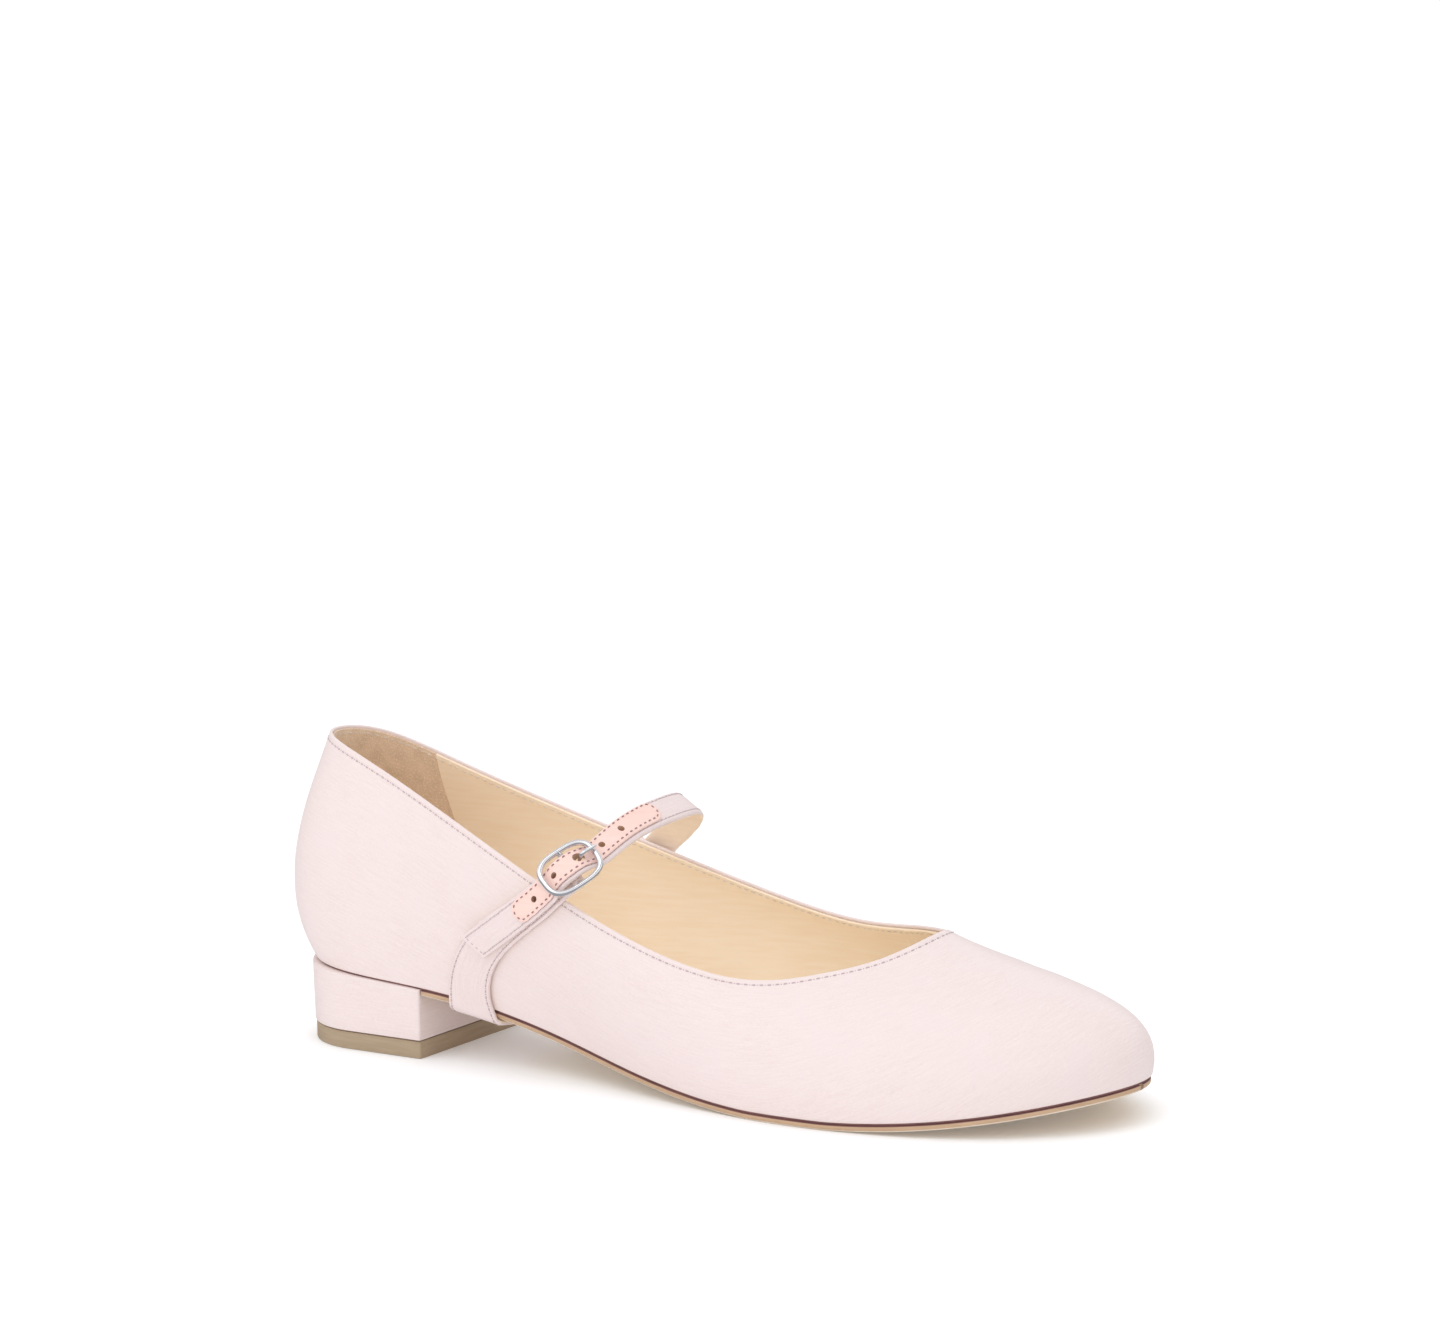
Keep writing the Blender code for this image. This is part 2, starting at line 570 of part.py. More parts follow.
def band_mesh(name, path, lengths, half_widths, inner, thickness):
    """A strap between two heights over the shoe. inner gives the lower height by length."""
    rings = []
    for length, half in zip(lengths, half_widths):
        q, low = path.around_at(length), inner(length)
        edge = 0.1 * half
        under = [path.point(q, s * (half - edge), low) for s in ACROSS]
        over = [path.point(q, s * (half - edge), low + thickness) for s in ACROSS[::-1]]
        middle = low + thickness / 2
        rings.append(under + [path.point(q, half, middle)] + over + [path.point(q, -half, middle)])
    return loft_mesh(name, rings)


sling_path = StrapPath(SLING_ROWS, SLING_WIDTH)
over_path = StrapPath(OVER_ROWS, STRAP_WIDTH)
BAR_AT = over_path.length_at(BUCKLE_AROUND)

EYE_RADIUS = BAR_WIRE / 2 + EYE_PLAY + EYE_WALL
LOOP_RADIUS = BAR_WIRE / 2 + EYE_PLAY + PRONG_WIRE / 2
BAR_HEIGHT = GAP + LOOP_RADIUS + PRONG_WIRE / 2
OVER_HEIGHT = GAP + SLING + GAP
HUMP = BAR_HEIGHT + EYE_RADIUS + EYE_CLEARANCE - OVER_HEIGHT
HUMP_REACH = 8.1 * MM       # from the bar to where the strap lies low again
HUMP_FULLNESS = 1.4         # over 1 keeps it high for longer


def over_height(length):
    """Lower side of the instep strap: it rides up over the chape's eye."""
    reach = min(abs(length - BAR_AT) / HUMP_REACH, 1.0)
    return OVER_HEIGHT + HUMP * math.cos(reach ** HUMP_FULLNESS * math.pi / 2) ** 2


# ---------------------------------------------------------------- buckle frame's own directions
bar_q = over_path.around_at(BAR_AT)
bar_middle = girth_point(over_path.along(bar_q), bar_q, BAR_HEIGHT)
_, _, bar_along = over_path.across(bar_q)
bar_across = over_path.point(bar_q, MM, BAR_HEIGHT) - over_path.point(bar_q, -MM, BAR_HEIGHT)
bar_across /= np.linalg.norm(bar_across)
bar_out = np.cross(bar_across, bar_along)
bar_out /= np.linalg.norm(bar_out)
bar_out *= math.copysign(1.0, bar_out @ (bar_middle - np.array([bar_middle[0], 0.0, BACK_HEIGHT / 2])))


def at_buckle(along, across, out):
    """A point in the buckle's directions, from the middle of its bar."""
    return bar_middle + bar_along * along + bar_across * across + bar_out * out


# ---------------------------------------------------------------- straps
STRAP_STEP = 4.5 * MM       # longest stretch between two sections of a strap
STRAP_TURN = math.radians(13)  # most that a strap turns between two sections


def strap_lengths(path, start, end):
    """Sections of a strap: closer together where it turns more."""
    dense = np.linspace(start, end, 400)
    points = np.array([path.point(path.around_at(s), 0.0, GAP) for s in dense])
    step = np.diff(points, axis=0)
    ahead = step / np.maximum(np.linalg.norm(step, axis=1), MM * 1e-3)[:, None]
    wide = np.array([path.point(path.around_at(s), 0.0, FIRST_LAYER * 2) for s in dense])
    span = np.linalg.norm(np.diff(wide, axis=0), axis=1)
    turn = np.arccos(np.clip(np.sum(ahead[1:] * ahead[:-1], axis=1), -1.0, 1.0))
    cost = span / STRAP_STEP
    cost[1:] += turn / STRAP_TURN
    total = np.concatenate([[0.0], np.cumsum(cost)])
    count = int(math.ceil(total[-1])) + 1
    return np.interp(np.linspace(0.0, total[-1], count), total, dense)


sling_lengths = strap_lengths(sling_path, 0.0, sling_path.length[-1])
sling_halves = [sling_path.width_at(sling_path.around_at(s)) / 2 for s in sling_lengths]
sling = add_object("strap_sling", band_mesh("strap_sling", sling_path, sling_lengths, sling_halves,
                                            lambda length: GAP, SLING), satin)

over_end = over_path.length[-1]
PATCH_FROM, PATCH_TO = TIP_TO_PATCH, TIP_TO_PATCH + PATCH_LENGTH
round_end = PATCH_WIDTH / 2
patch_lengths = np.concatenate([
    PATCH_FROM + round_end * (1 - np.cos(np.linspace(0.12, math.pi / 2, 6))),
    np.linspace(PATCH_FROM + round_end, PATCH_TO - round_end, 17)[1:-1],
    PATCH_TO - round_end * (1 - np.cos(np.linspace(math.pi / 2, 0.12, 6)))])


def patch_half(length):
    """Half width of the round-ended patch."""
    left = min(length - PATCH_FROM, PATCH_TO - length, round_end)
    return math.sqrt(round_end ** 2 - (round_end - left) ** 2)


over_lengths = np.unique(np.round(np.concatenate([
    np.linspace(0.0, PATCH_FROM, 4), patch_lengths[5:-5], strap_lengths(over_path, PATCH_TO, over_end)]), 7))
over = add_object("strap_over", band_mesh("strap_over", over_path, over_lengths,
                                          [STRAP_WIDTH / 2] * len(over_lengths), over_height, STRAP), satin)
patch = add_object("strap_patch", band_mesh(
    "strap_patch", over_path, patch_lengths, [patch_half(s) for s in patch_lengths],
    lambda length: over_height(length) + STRAP + PATCH_SEAT, PATCH), peach_leather)


def pin_cutter(name, centre, axis, radius, depth, sides=14):
    """A round pin along an axis."""
    bm = bmesh.new()
    bmesh.ops.create_cone(bm, cap_ends=True, segments=sides, radius1=radius, radius2=radius, depth=depth)
    turn = Vector(axis).to_track_quat("Z", "Y").to_matrix().to_4x4()
    bmesh.ops.transform(bm, matrix=Matrix.Translation(Vector(centre)) @ turn, verts=bm.verts)
    mesh = bpy.data.meshes.new(name)
    bm.to_mesh(mesh)
    bm.free()
    return add_cutter(name, mesh)


# Holes: the prong's hole is the middle one.
PRONG_HOLE_AT = BAR_AT + PRONG_HOLE_REACH
for k in range(HOLE_COUNT):
    is_prong = k == HOLE_COUNT // 2
    length = PRONG_HOLE_AT + (k - HOLE_COUNT // 2) * HOLE_PITCH + is_prong * PRONG_PULL
    q = over_path.around_at(length)
    low = over_path.point(q, 0.0, over_height(length))
    high = over_path.point(q, 0.0, over_height(length) + STRAP + PATCH)
    cutter = pin_cutter(f"hole_{k + 1}", (low + high) / 2, high - low,
                        (PRONG_HOLE if is_prong else HOLE) / 2, (STRAP + PATCH) * 3)
    boolean(over, cutter, "DIFFERENCE")
    boolean(patch, cutter, "DIFFERENCE")

# The sling's chape: an eye round the bar, with a slot for the prong.
eye = pin_cutter("chape_eye", at_buckle(0, 0, 0), bar_across, EYE_RADIUS, CHAPE_WIDTH * 0.98, 16)
boolean(sling, eye, "UNION")
bore = pin_cutter("chape_bore", at_buckle(0, 0, 0), bar_across, EYE_RADIUS - EYE_WALL, CHAPE_WIDTH * 2, 16)
boolean(sling, bore, "DIFFERENCE")
slot_reach = LOOP_RADIUS + PRONG_WIRE / 2 + GAP
slot = pin_cutter("chape_slot", at_buckle(0, PRONG_SIDE, 0), bar_across, slot_reach, PRONG_WIRE + 2 * GAP, 16)
boolean(sling, slot, "DIFFERENCE")

# ---------------------------------------------------------------- buckle
FRAME_LIFT = 2.9 * MM       # frame's wire over the bar's middle
frame_a = (FRAME_LENGTH - FRAME_WIRE) / 2
frame_b = (FRAME_WIDTH - FRAME_WIRE) / 2
FRAME_SQUARENESS = 3.0


def wire_mesh(name, points, diameter, closed=False):
    """A round wire through points, as a closed mesh."""
    curve = bpy.data.curves.new(name, "CURVE")
    curve.dimensions = "3D"
    curve.bevel_depth = diameter / 2
    curve.bevel_resolution = 2
    curve.use_fill_caps = True
    spline = curve.splines.new("POLY")
    spline.points.add(len(points) - 1)
    for node, point in zip(spline.points, points):
        node.co = (*point, 1.0)
    spline.use_cyclic_u = closed
    guide = bpy.data.objects.new(name + "_wire", curve)
    bpy.context.scene.collection.objects.link(guide)
    bpy.context.view_layer.update()
    mesh = bpy.data.meshes.new_from_object(guide.evaluated_get(bpy.context.evaluated_depsgraph_get()))
    bpy.data.objects.remove(guide, do_unlink=True)
    bm = bmesh.new()
    bm.from_mesh(mesh)
    bmesh.ops.remove_doubles(bm, verts=bm.verts, dist=diameter * 0.01)
    bmesh.ops.recalc_face_normals(bm, faces=bm.faces)
    bm.to_mesh(mesh)
    bm.free()
    mesh.name = name
    mesh.shade_smooth()
    return mesh


def superellipse(angle):
    """Frame's middle line: along and across shares of its half sizes."""
    c, s = math.cos(angle), math.sin(angle)
    power = 2 / FRAME_SQUARENESS
    return (math.copysign(abs(c) ** power, c), math.copysign(abs(s) ** power, s))


FRAME_POINTS = 32
frame_line = [at_buckle(frame_a * superellipse(a)[0], frame_b * superellipse(a)[1], FRAME_LIFT)
              for a in np.arange(FRAME_POINTS) * 2 * math.pi / FRAME_POINTS]
frame = add_object("buckle_frame", wire_mesh("buckle_frame", frame_line, FRAME_WIRE, closed=True), silver)
bar_half = (STRAP_WIDTH + BAR_WIRE) / 2 + GAP / 2
bar_line = [at_buckle(0.0, side * across, out) for side, across, out in (
    (-1, frame_b, FRAME_LIFT), (-1, bar_half, FRAME_LIFT / 2), (-1, bar_half * 0.985, BAR_WIRE * 0.25),
    (-1, bar_half * 0.93, 0.0), (1, bar_half * 0.93, 0.0), (1, bar_half * 0.985, BAR_WIRE * 0.25),
    (1, bar_half, FRAME_LIFT / 2), (1, frame_b, FRAME_LIFT))]
bar = add_cutter("frame_bar", wire_mesh("frame_bar", bar_line, BAR_WIRE))
boolean(frame, bar, "UNION")

# The prong hooks under the bar, comes up through its hole and rests on the frame's end.
REST_OUT = FRAME_LIFT + (FRAME_WIRE + PRONG_WIRE) / 2 + GAP / 2
hook = [(LOOP_RADIUS * math.cos(a), LOOP_RADIUS * math.sin(a))
        for a in np.radians(np.arange(-190, -9, 20))]
rise = PRONG_HOLE_REACH
prong_line = hook + [(rise * 0.66, REST_OUT * 0.12), (rise * 0.88, REST_OUT * 0.40),
                     (rise * 1.06, REST_OUT * 0.70), (rise * 1.22, REST_OUT * 0.90),
                     (rise * 1.55, REST_OUT * 1.01), (frame_a, REST_OUT), (frame_a + FRAME_WIRE * 0.75, REST_OUT * 0.96)]
prong = add_object("buckle_prong", wire_mesh(
    "buckle_prong", [at_buckle(along, PRONG_SIDE, out) for along, out in prong_line], PRONG_WIRE), silver)
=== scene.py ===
# %% [markdown]
# # A satin bar shoe
# This is a right shoe for a woman: a round toe, a low covered heel and a narrow strap that runs
# under the arch and buckles over the instep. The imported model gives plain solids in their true
# places. Each one is dressed here with a finer mesh of its own and a finish made of nodes.

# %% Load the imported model
import math

import bmesh
import bpy
import numpy as np
from mathutils import Matrix, Vector


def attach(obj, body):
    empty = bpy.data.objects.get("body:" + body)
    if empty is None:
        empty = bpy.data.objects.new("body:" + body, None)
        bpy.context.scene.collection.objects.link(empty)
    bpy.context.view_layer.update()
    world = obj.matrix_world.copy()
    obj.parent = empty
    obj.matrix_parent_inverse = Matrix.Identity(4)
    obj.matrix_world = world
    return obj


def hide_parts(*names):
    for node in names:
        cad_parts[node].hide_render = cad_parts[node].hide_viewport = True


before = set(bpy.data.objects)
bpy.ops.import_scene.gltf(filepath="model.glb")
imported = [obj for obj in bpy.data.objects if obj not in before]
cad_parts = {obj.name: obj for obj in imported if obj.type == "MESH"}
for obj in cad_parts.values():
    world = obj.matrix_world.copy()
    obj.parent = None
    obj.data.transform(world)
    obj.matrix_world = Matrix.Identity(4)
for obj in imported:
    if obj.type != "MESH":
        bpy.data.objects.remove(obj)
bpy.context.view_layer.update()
MM = 0.001
print("solids:", ", ".join(sorted(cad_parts)))

# %% [markdown]
# ## The camera
# The photograph was taken with a long lens, a little above the shoe, from its outer side and
# towards the toe. A long lens keeps the toe from looking larger than the heel. The lens, the
# point that it aims at and its small roll were fitted to the heel block and the sole's edge.

# %% Camera
CAMERA_PLACE = Vector((925.57, -1322.63, 387.20)) * MM
CAMERA_AIM = Vector((101.26, 0.0, 107.38)) * MM
CAMERA_ROLL = math.radians(-1.138)
CAMERA_LENS = 156.6         # mm on a sensor 36 mm wide

camera_data = bpy.data.cameras.new("camera")
camera_data.lens = CAMERA_LENS
camera_data.sensor_width = 36.0
camera_data.sensor_fit = "HORIZONTAL"
camera_data.clip_start, camera_data.clip_end = 0.1, 20.0
camera = bpy.data.objects.new("camera", camera_data)
bpy.context.scene.collection.objects.link(camera)
aim = (CAMERA_AIM - CAMERA_PLACE).to_track_quat("-Z", "Y").to_matrix().to_4x4()
camera.matrix_world = Matrix.Translation(CAMERA_PLACE) @ aim @ Matrix.Rotation(CAMERA_ROLL, 4, "Z")
bpy.context.scene.camera = camera
print("camera is", round((CAMERA_AIM - CAMERA_PLACE).length, 2), "m away")

# %% [markdown]
# ## Floor and light
# The shoe stands on white paper in a bright tent. The tent's cloth is warm at the sides, cool at
# the top and dimmer at the shoe's two ends, and its even light keeps the shadows pale. A large
# soft lamp, high over the heel end on the camera's side, models the satin, and a second one
# above the shoe lifts the vamp. Gloss alone sees a tent with a dark foot and a grey table, so
# that the buckle has something dark to reflect. Paper and tent are built from nodes, so the
# helpers that add a node come first.


# %% Node helpers
def add_node(tree, kind, inputs=(), **settings):
    """A node with its settings. inputs maps a socket's name or number to a value or a socket."""
    node = tree.nodes.new(kind)
    for key, value in settings.items():
        setattr(node, key, value)
    for key, value in dict(inputs).items():
        socket = node.inputs[key]
        if isinstance(value, bpy.types.NodeSocket):
            tree.links.new(value, socket)
        else:
            socket.default_value = value
    return node


def maths(tree, operation, *values):
    """The output of a Math node."""
    return add_node(tree, "ShaderNodeMath", dict(enumerate(values)), operation=operation).outputs[0]


def blend_colour(tree, factor, first, second):
    """Two colours mixed by a factor."""
    node = add_node(tree, "ShaderNodeMix", data_type="RGBA", clamp_factor=True)
    for socket, value in zip((node.inputs[0], node.inputs[6], node.inputs[7]),
                             (factor, first, second)):
        if isinstance(value, bpy.types.NodeSocket):
            tree.links.new(value, socket)
        else:
            socket.default_value = value if isinstance(value, float) else (*value, 1.0)
    return node.outputs[2]


def colour_ramp(tree, factor, first, *others):
    """The colour of a ramp through stops, each a place from 0 to 1 and a colour."""
    node = add_node(tree, "ShaderNodeValToRGB", {0: factor})
    stops = node.color_ramp.elements
    stops.remove(stops[1])
    stops[0].position, stops[0].color = first
    for place, colour in others:
        stops.new(place).color = colour
    return node.outputs["Color"]


def by_gloss(tree, seen, mirrored):
    """One colour for the camera and matt surfaces, another one for reflections."""
    gloss = add_node(tree, "ShaderNodeLightPath").outputs["Is Glossy Ray"]
    return blend_colour(tree, gloss, seen, mirrored)


def area_lamp(name, place, target, size, power, colour):
    """A square soft lamp that looks at a point."""
    data = bpy.data.lights.new(name, "AREA")
    data.shape = "SQUARE"
    data.size, data.energy, data.color = size, power, colour
    lamp = bpy.data.objects.new(name, data)
    direction = (Vector(target) - Vector(place)).to_track_quat("-Z", "Y")
    lamp.matrix_world = Matrix.Translation(Vector(place)) @ direction.to_matrix().to_4x4()
    bpy.context.scene.collection.objects.link(lamp)
    return lamp


# %% Paper floor
TABLE_SEEN, TABLE_MIRRORED = (0.97, 0.97, 0.975), (0.26, 0.26, 0.28)
floor_mesh = bpy.data.meshes.new("paper_floor")
floor_mesh.from_pydata([(-6, -6, 0), (6, -6, 0), (6, 6, 0), (-6, 6, 0)], [], [(0, 1, 2, 3)])
floor = bpy.data.objects.new("paper_floor", floor_mesh)
bpy.context.scene.collection.objects.link(floor)
paper = bpy.data.materials.new("white_paper")
paper.use_nodes = True
surface = paper.node_tree.nodes["Principled BSDF"]
paper.node_tree.links.new(by_gloss(paper.node_tree, TABLE_SEEN, TABLE_MIRRORED),
                          surface.inputs["Base Color"])
# The paper glows a little, as a lit table does, which keeps the shadow under the toe pale.
for socket, value in (("Roughness", 0.9), ("Specular IOR Level", 0.1),
                      ("Emission Color", (0.92, 0.97, 1, 1)), ("Emission Strength", 0.12)):
    surface.inputs[socket].default_value = value
floor_mesh.materials.append(paper)
print("paper floor")

# %% Light tent and lamps
END_DIMMING = 0.75          # how much dimmer the tent is at its two ends
SIDE_CLOTH, TOP_CLOTH = (1.0, 0.977, 0.945, 1), (0.98, 1.005, 1.04, 1)
tent = bpy.data.worlds.new("light_tent")
tent.use_nodes = True
tree = tent.node_tree
background = tree.nodes["Background"]
background.inputs["Strength"].default_value = 1.03
facing = add_node(tree, "ShaderNodeTexCoord").outputs["Generated"]
facing = add_node(tree, "ShaderNodeSeparateXYZ", {0: facing}).outputs
tent_cloth = colour_ramp(tree, facing["Z"], (0.0, SIDE_CLOTH), (1.0, TOP_CLOTH))
middle_level = 1 / (1 - END_DIMMING / 4)
dim = maths(tree, "MULTIPLY_ADD", maths(tree, "MULTIPLY", facing["X"], facing["X"]),
            -END_DIMMING / (1 - END_DIMMING / 4), middle_level)
tent_cloth = add_node(tree, "ShaderNodeVectorMath", {0: tent_cloth, "Scale": dim},
                      operation="SCALE").outputs[0]
mirrored = colour_ramp(tree, facing["Z"], *(
    (place, (level, level, level * 1.02, 1))
    for place, level in ((0.0, 0.10), (0.20, 0.25), (0.34, 0.95), (0.70, 1.0), (0.82, 0.35))),
    (1.0, (1, 1, 1, 1)))
tree.links.new(by_gloss(tree, tent_cloth, mirrored), background.inputs["Color"])
bpy.context.scene.world = tent
area_lamp("key_lamp", (-0.5, -0.9, 1.5), (0.1, 0, 0.03), 0.9, 1.6, (1.0, 0.97, 0.93))
area_lamp("top_lamp", (0.15, -0.35, 1.5), (0.05, 0, 0.03), 0.7, 1.6, (0.95, 0.99, 1.0))
bpy.context.scene.view_settings.view_transform = "Standard"
print("tent and two lamps")

# %% [markdown]
# ## The last's form
# A shoemaker draws the upper from a few sections of the last. The table holds sixteen of them,
# the same as in the solid, as shares of the shoe's own sizes. A closed spline runs through them
# round the shoe, and each section is a curve in height from the feather line, where the upper
# meets the sole, by wall and shoulder to the collar.

# %% The shoe's sizes and sections
LENGTH, BALL_WIDTH, BACK_HEIGHT = 246 * MM, 80 * MM, 80 * MM
SEAT_HEIGHT, TOE_SPRING = 21.5 * MM, 8.9 * MM
INSTEP_LATERAL, INSTEP_MEDIAL = 6 * MM, 46 * MM
INSTEP_TWIST, INSTEP_AT, INSTEP_SPAN = (-0.5, 1.2), 0.41, 0.07
WALL, GAP = 1.6 * MM, 0.3 * MM
SOLE, SOLE_MARGIN, INSOLE = 1.8 * MM, 0.3 * MM, 1.6 * MM
SOLE_CHAMFER = 0.5 * MM
HEEL_LENGTH, HEEL_WIDTH, HEEL_OVERHANG = 47.8 * MM, 48.8 * MM, 0.3 * MM
HEEL_CORNER, HEEL_TURN = 0.7 * MM, math.radians(2)
LIFT = 4.6 * MM
TREAD = SOLE + GAP
ORIGIN_X = HEEL_LENGTH / 2  # the model's origin is the middle of the heel

# feather x, y, bulge, rise, shoulder x, y, z, collar x, y, z
SECTIONS = np.array((
    (0.009, 0.000, 0.180, 0.250, 0.002, 0.019, 0.788, 0.020, 0.031, 1.000),
    (0.043, -0.218, 0.135, 0.250, 0.026, -0.175, 0.788, 0.048, -0.125, 0.996),
    (0.140, -0.310, 0.069, 0.250, 0.138, -0.300, 0.725, 0.138, -0.225, 0.918),
    (0.329, -0.300, 0.062, 0.225, 0.329, -0.388, 0.525, 0.325, -0.338, 0.684),
    (0.480, -0.400, 0.056, 0.175, 0.480, -0.456, 0.388, 0.467, -0.388, 0.510),
    (0.638, -0.500, 0.044, 0.138, 0.618, -0.512, 0.300, 0.598, -0.390, 0.422),
    (0.780, -0.480, 0.044, 0.150, 0.724, -0.450, 0.350, 0.683, -0.319, 0.448),
    (0.915, -0.315, 0.056, 0.225, 0.800, -0.285, 0.378, 0.736, -0.184, 0.492),
    (0.992, 0.020, 0.088, 0.290, 0.855, 0.010, 0.392, 0.763, 0.000, 0.541),
    (0.931, 0.320, 0.056, 0.238, 0.800, 0.285, 0.385, 0.738, 0.180, 0.506),
    (0.821, 0.470, 0.044, 0.162, 0.732, 0.450, 0.362, 0.683, 0.319, 0.474),
    (0.691, 0.500, 0.044, 0.150, 0.630, 0.512, 0.312, 0.598, 0.390, 0.454),
    (0.520, 0.400, 0.062, 0.175, 0.496, 0.475, 0.388, 0.480, 0.391, 0.520),
    (0.341, 0.260, 0.088, 0.225, 0.333, 0.388, 0.525, 0.325, 0.338, 0.665),
    (0.140, 0.310, 0.069, 0.250, 0.138, 0.338, 0.662, 0.138, 0.281, 0.850),
    (0.043, 0.218, 0.130, 0.250, 0.026, 0.212, 0.755, 0.048, 0.181, 0.968)))
# share of length, share of the seat's height, share of the toe spring
BOTTOM = np.array(((0.00, 1.000, 0.0), (0.08, 0.952, 0.0), (0.17, 0.887, 0.0), (0.24, 0.780, 0.0),
                   (0.34, 0.522, 0.0), (0.44, 0.263, 0.0), (0.54, 0.081, 0.0), (0.62, 0.005, 0.0),
                   (0.72, 0.000, 0.0), (0.80, 0.000, 0.136), (0.90, 0.000, 0.494),
                   (1.00, 0.000, 1.000)))
print(len(SECTIONS), "sections,", round(LENGTH / MM), "mm long")


# %% Splines
def natural_spline(xs, ys, x):
    """Natural cubic spline through (xs, ys), read at x."""
    n, step = len(xs), np.diff(xs)
    system, side = np.eye(n), np.zeros(ys.shape)
    for i in range(1, n - 1):
        system[i, i - 1:i + 2] = step[i - 1], 2 * (step[i - 1] + step[i]), step[i]
        side[i] = 6 * ((ys[i + 1] - ys[i]) / step[i] - (ys[i] - ys[i - 1]) / step[i - 1])
    bend = np.linalg.solve(system, side)
    i = np.clip(np.searchsorted(xs, x) - 1, 0, n - 2)
    t, h = x - xs[i], step[i]
    if ys.ndim > 1:
        t, h = t[:, None], h[:, None]
    return ((bend[i] * (h - t) ** 3 + bend[i + 1] * t ** 3) / (6 * h)
            + (ys[i] / h - bend[i] * h / 6) * (h - t) + (ys[i + 1] / h - bend[i + 1] * h / 6) * t)


def closed_spline(knots, points, u):
    """Periodic cubic spline through points at knots 0..1, read at u."""
    n, step = len(points), np.diff(knots)
    system, side = np.zeros((n, n)), np.zeros(points.shape)
    for i in range(n):
        before, after = step[i - 1], step[i]
        system[i, i - 1] += before
        system[i, i] += 2 * (before + after)
        system[i, (i + 1) % n] += after
        side[i] = 6 * ((points[(i + 1) % n] - points[i]) / after
                       - (points[i] - points[i - 1]) / before)
    bend = np.linalg.solve(system, side)
    u = np.asarray(u, float) % 1.0
    i = np.clip(np.searchsorted(knots, u, side="right") - 1, 0, n - 1)
    t, h, j = (u - knots[i])[:, None], step[i][:, None], (i + 1) % n
    return ((bend[i] * (h - t) ** 3 + bend[j] * t ** 3) / (6 * h)
            + (points[i] / h - bend[i] * h / 6) * (h - t) + (points[j] / h - bend[j] * h / 6) * t)


def bottom_z(x):
    """Height of the feather line at x from the back of the heel."""
    share = np.clip(np.asarray(x, float) / LENGTH, 0.0, 1.0)
    seat = np.maximum(natural_spline(BOTTOM[:, 0], BOTTOM[:, 1], share), 0.0)
    spring = np.maximum(natural_spline(BOTTOM[:, 0], BOTTOM[:, 2], share), 0.0)
    return TREAD + seat * (SEAT_HEIGHT - TREAD) + spring * TOE_SPRING


print("feather line", round(float(bottom_z(0.0)) / MM, 1), "mm high at the heel")


# %% The upper's surface
def last_loops():
    """Feather, wall, shoulder and collar loops, and the knots that they share."""
    fx, fy, bulge, rise, sx, sy, sz, cx, cy, cz = SECTIONS.T
    feather = np.column_stack([fx * LENGTH, fy * BALL_WIDTH, bottom_z(fx * LENGTH)])
    along = (np.roll(feather, -1, 0) - np.roll(feather, 1, 0))[:, :2]
    along /= np.linalg.norm(along, axis=1)[:, None]
    wall = feather.copy()
    wall[:, :2] += np.column_stack([along[:, 1], -along[:, 0]]) * (bulge * BALL_WIDTH)[:, None]
    wall[:, 2] += rise * BACK_HEIGHT
    shoulder = np.column_stack([sx * LENGTH, sy * BALL_WIDTH, sz * BACK_HEIGHT])
    collar = np.column_stack([cx * LENGTH, cy * BALL_WIDTH, cz * BACK_HEIGHT])
    chord = np.linalg.norm((np.roll(feather, -1, 0) - feather)[:, :2], axis=1) ** 0.5
    knots = np.concatenate([[0.0], np.cumsum(chord)]) / chord.sum()
    return knots, (feather, wall, shoulder, collar)


KNOTS, LOOPS = last_loops()


def wall_points(u, v):
    """The upper's outside at shares u round the shoe (n) and v up the wall (n, m)."""
    feather, wall, shoulder, collar = (closed_spline(KNOTS, loop, u) for loop in LOOPS)
    feather[:, 2] = bottom_z(feather[:, 0])
    v = np.asarray(v, float)[..., None]
    return (feather[:, None] * (1 - v) ** 3 + 3 * wall[:, None] * v * (1 - v) ** 2
            + 3 * shoulder[:, None] * v ** 2 * (1 - v) + collar[:, None] * v ** 3)


def wall_normals(u, v):
    """Outward normals of the same surface."""
    e = 1e-4
    round_shoe = wall_points(u + e, v) - wall_points(u - e, v)
    low, high = np.clip(v - e, 0, 1), np.clip(v + e, 0, 1)
    up_wall = wall_points(u, high) - wall_points(u, low)
    normal = np.cross(round_shoe, up_wall)
    return normal / np.linalg.norm(normal, axis=-1, keepdims=True)


def wall_heights(u, samples):
    """For each column: shares v and the length of wall below the collar at each."""
    v = np.linspace(1.0, 0.0, samples)[None].repeat(len(u), 0)
    points = wall_points(u, v)
    steps = np.linalg.norm(np.diff(points, axis=1), axis=2)
    return v, np.concatenate([np.zeros((len(u), 1)), np.cumsum(steps, axis=1)], axis=1)


TABLE_U, TABLE_S = 720, 160
ROUND = np.arange(TABLE_U) / TABLE_U
shares, lengths = wall_heights(ROUND, TABLE_S)
WALL_LENGTHS = lengths[:, -1]
WALL_SHARES = np.array([np.interp(np.linspace(0, 1, TABLE_S), line / line[-1], share)
                        for line, share in zip(lengths, shares)])
middle_loop = wall_points(np.arange(TABLE_U + 1) / TABLE_U, np.full((TABLE_U + 1, 1), 0.5))[:, 0]
AROUND = np.concatenate([[0], np.cumsum(np.linalg.norm(np.diff(middle_loop, axis=0), axis=1))])


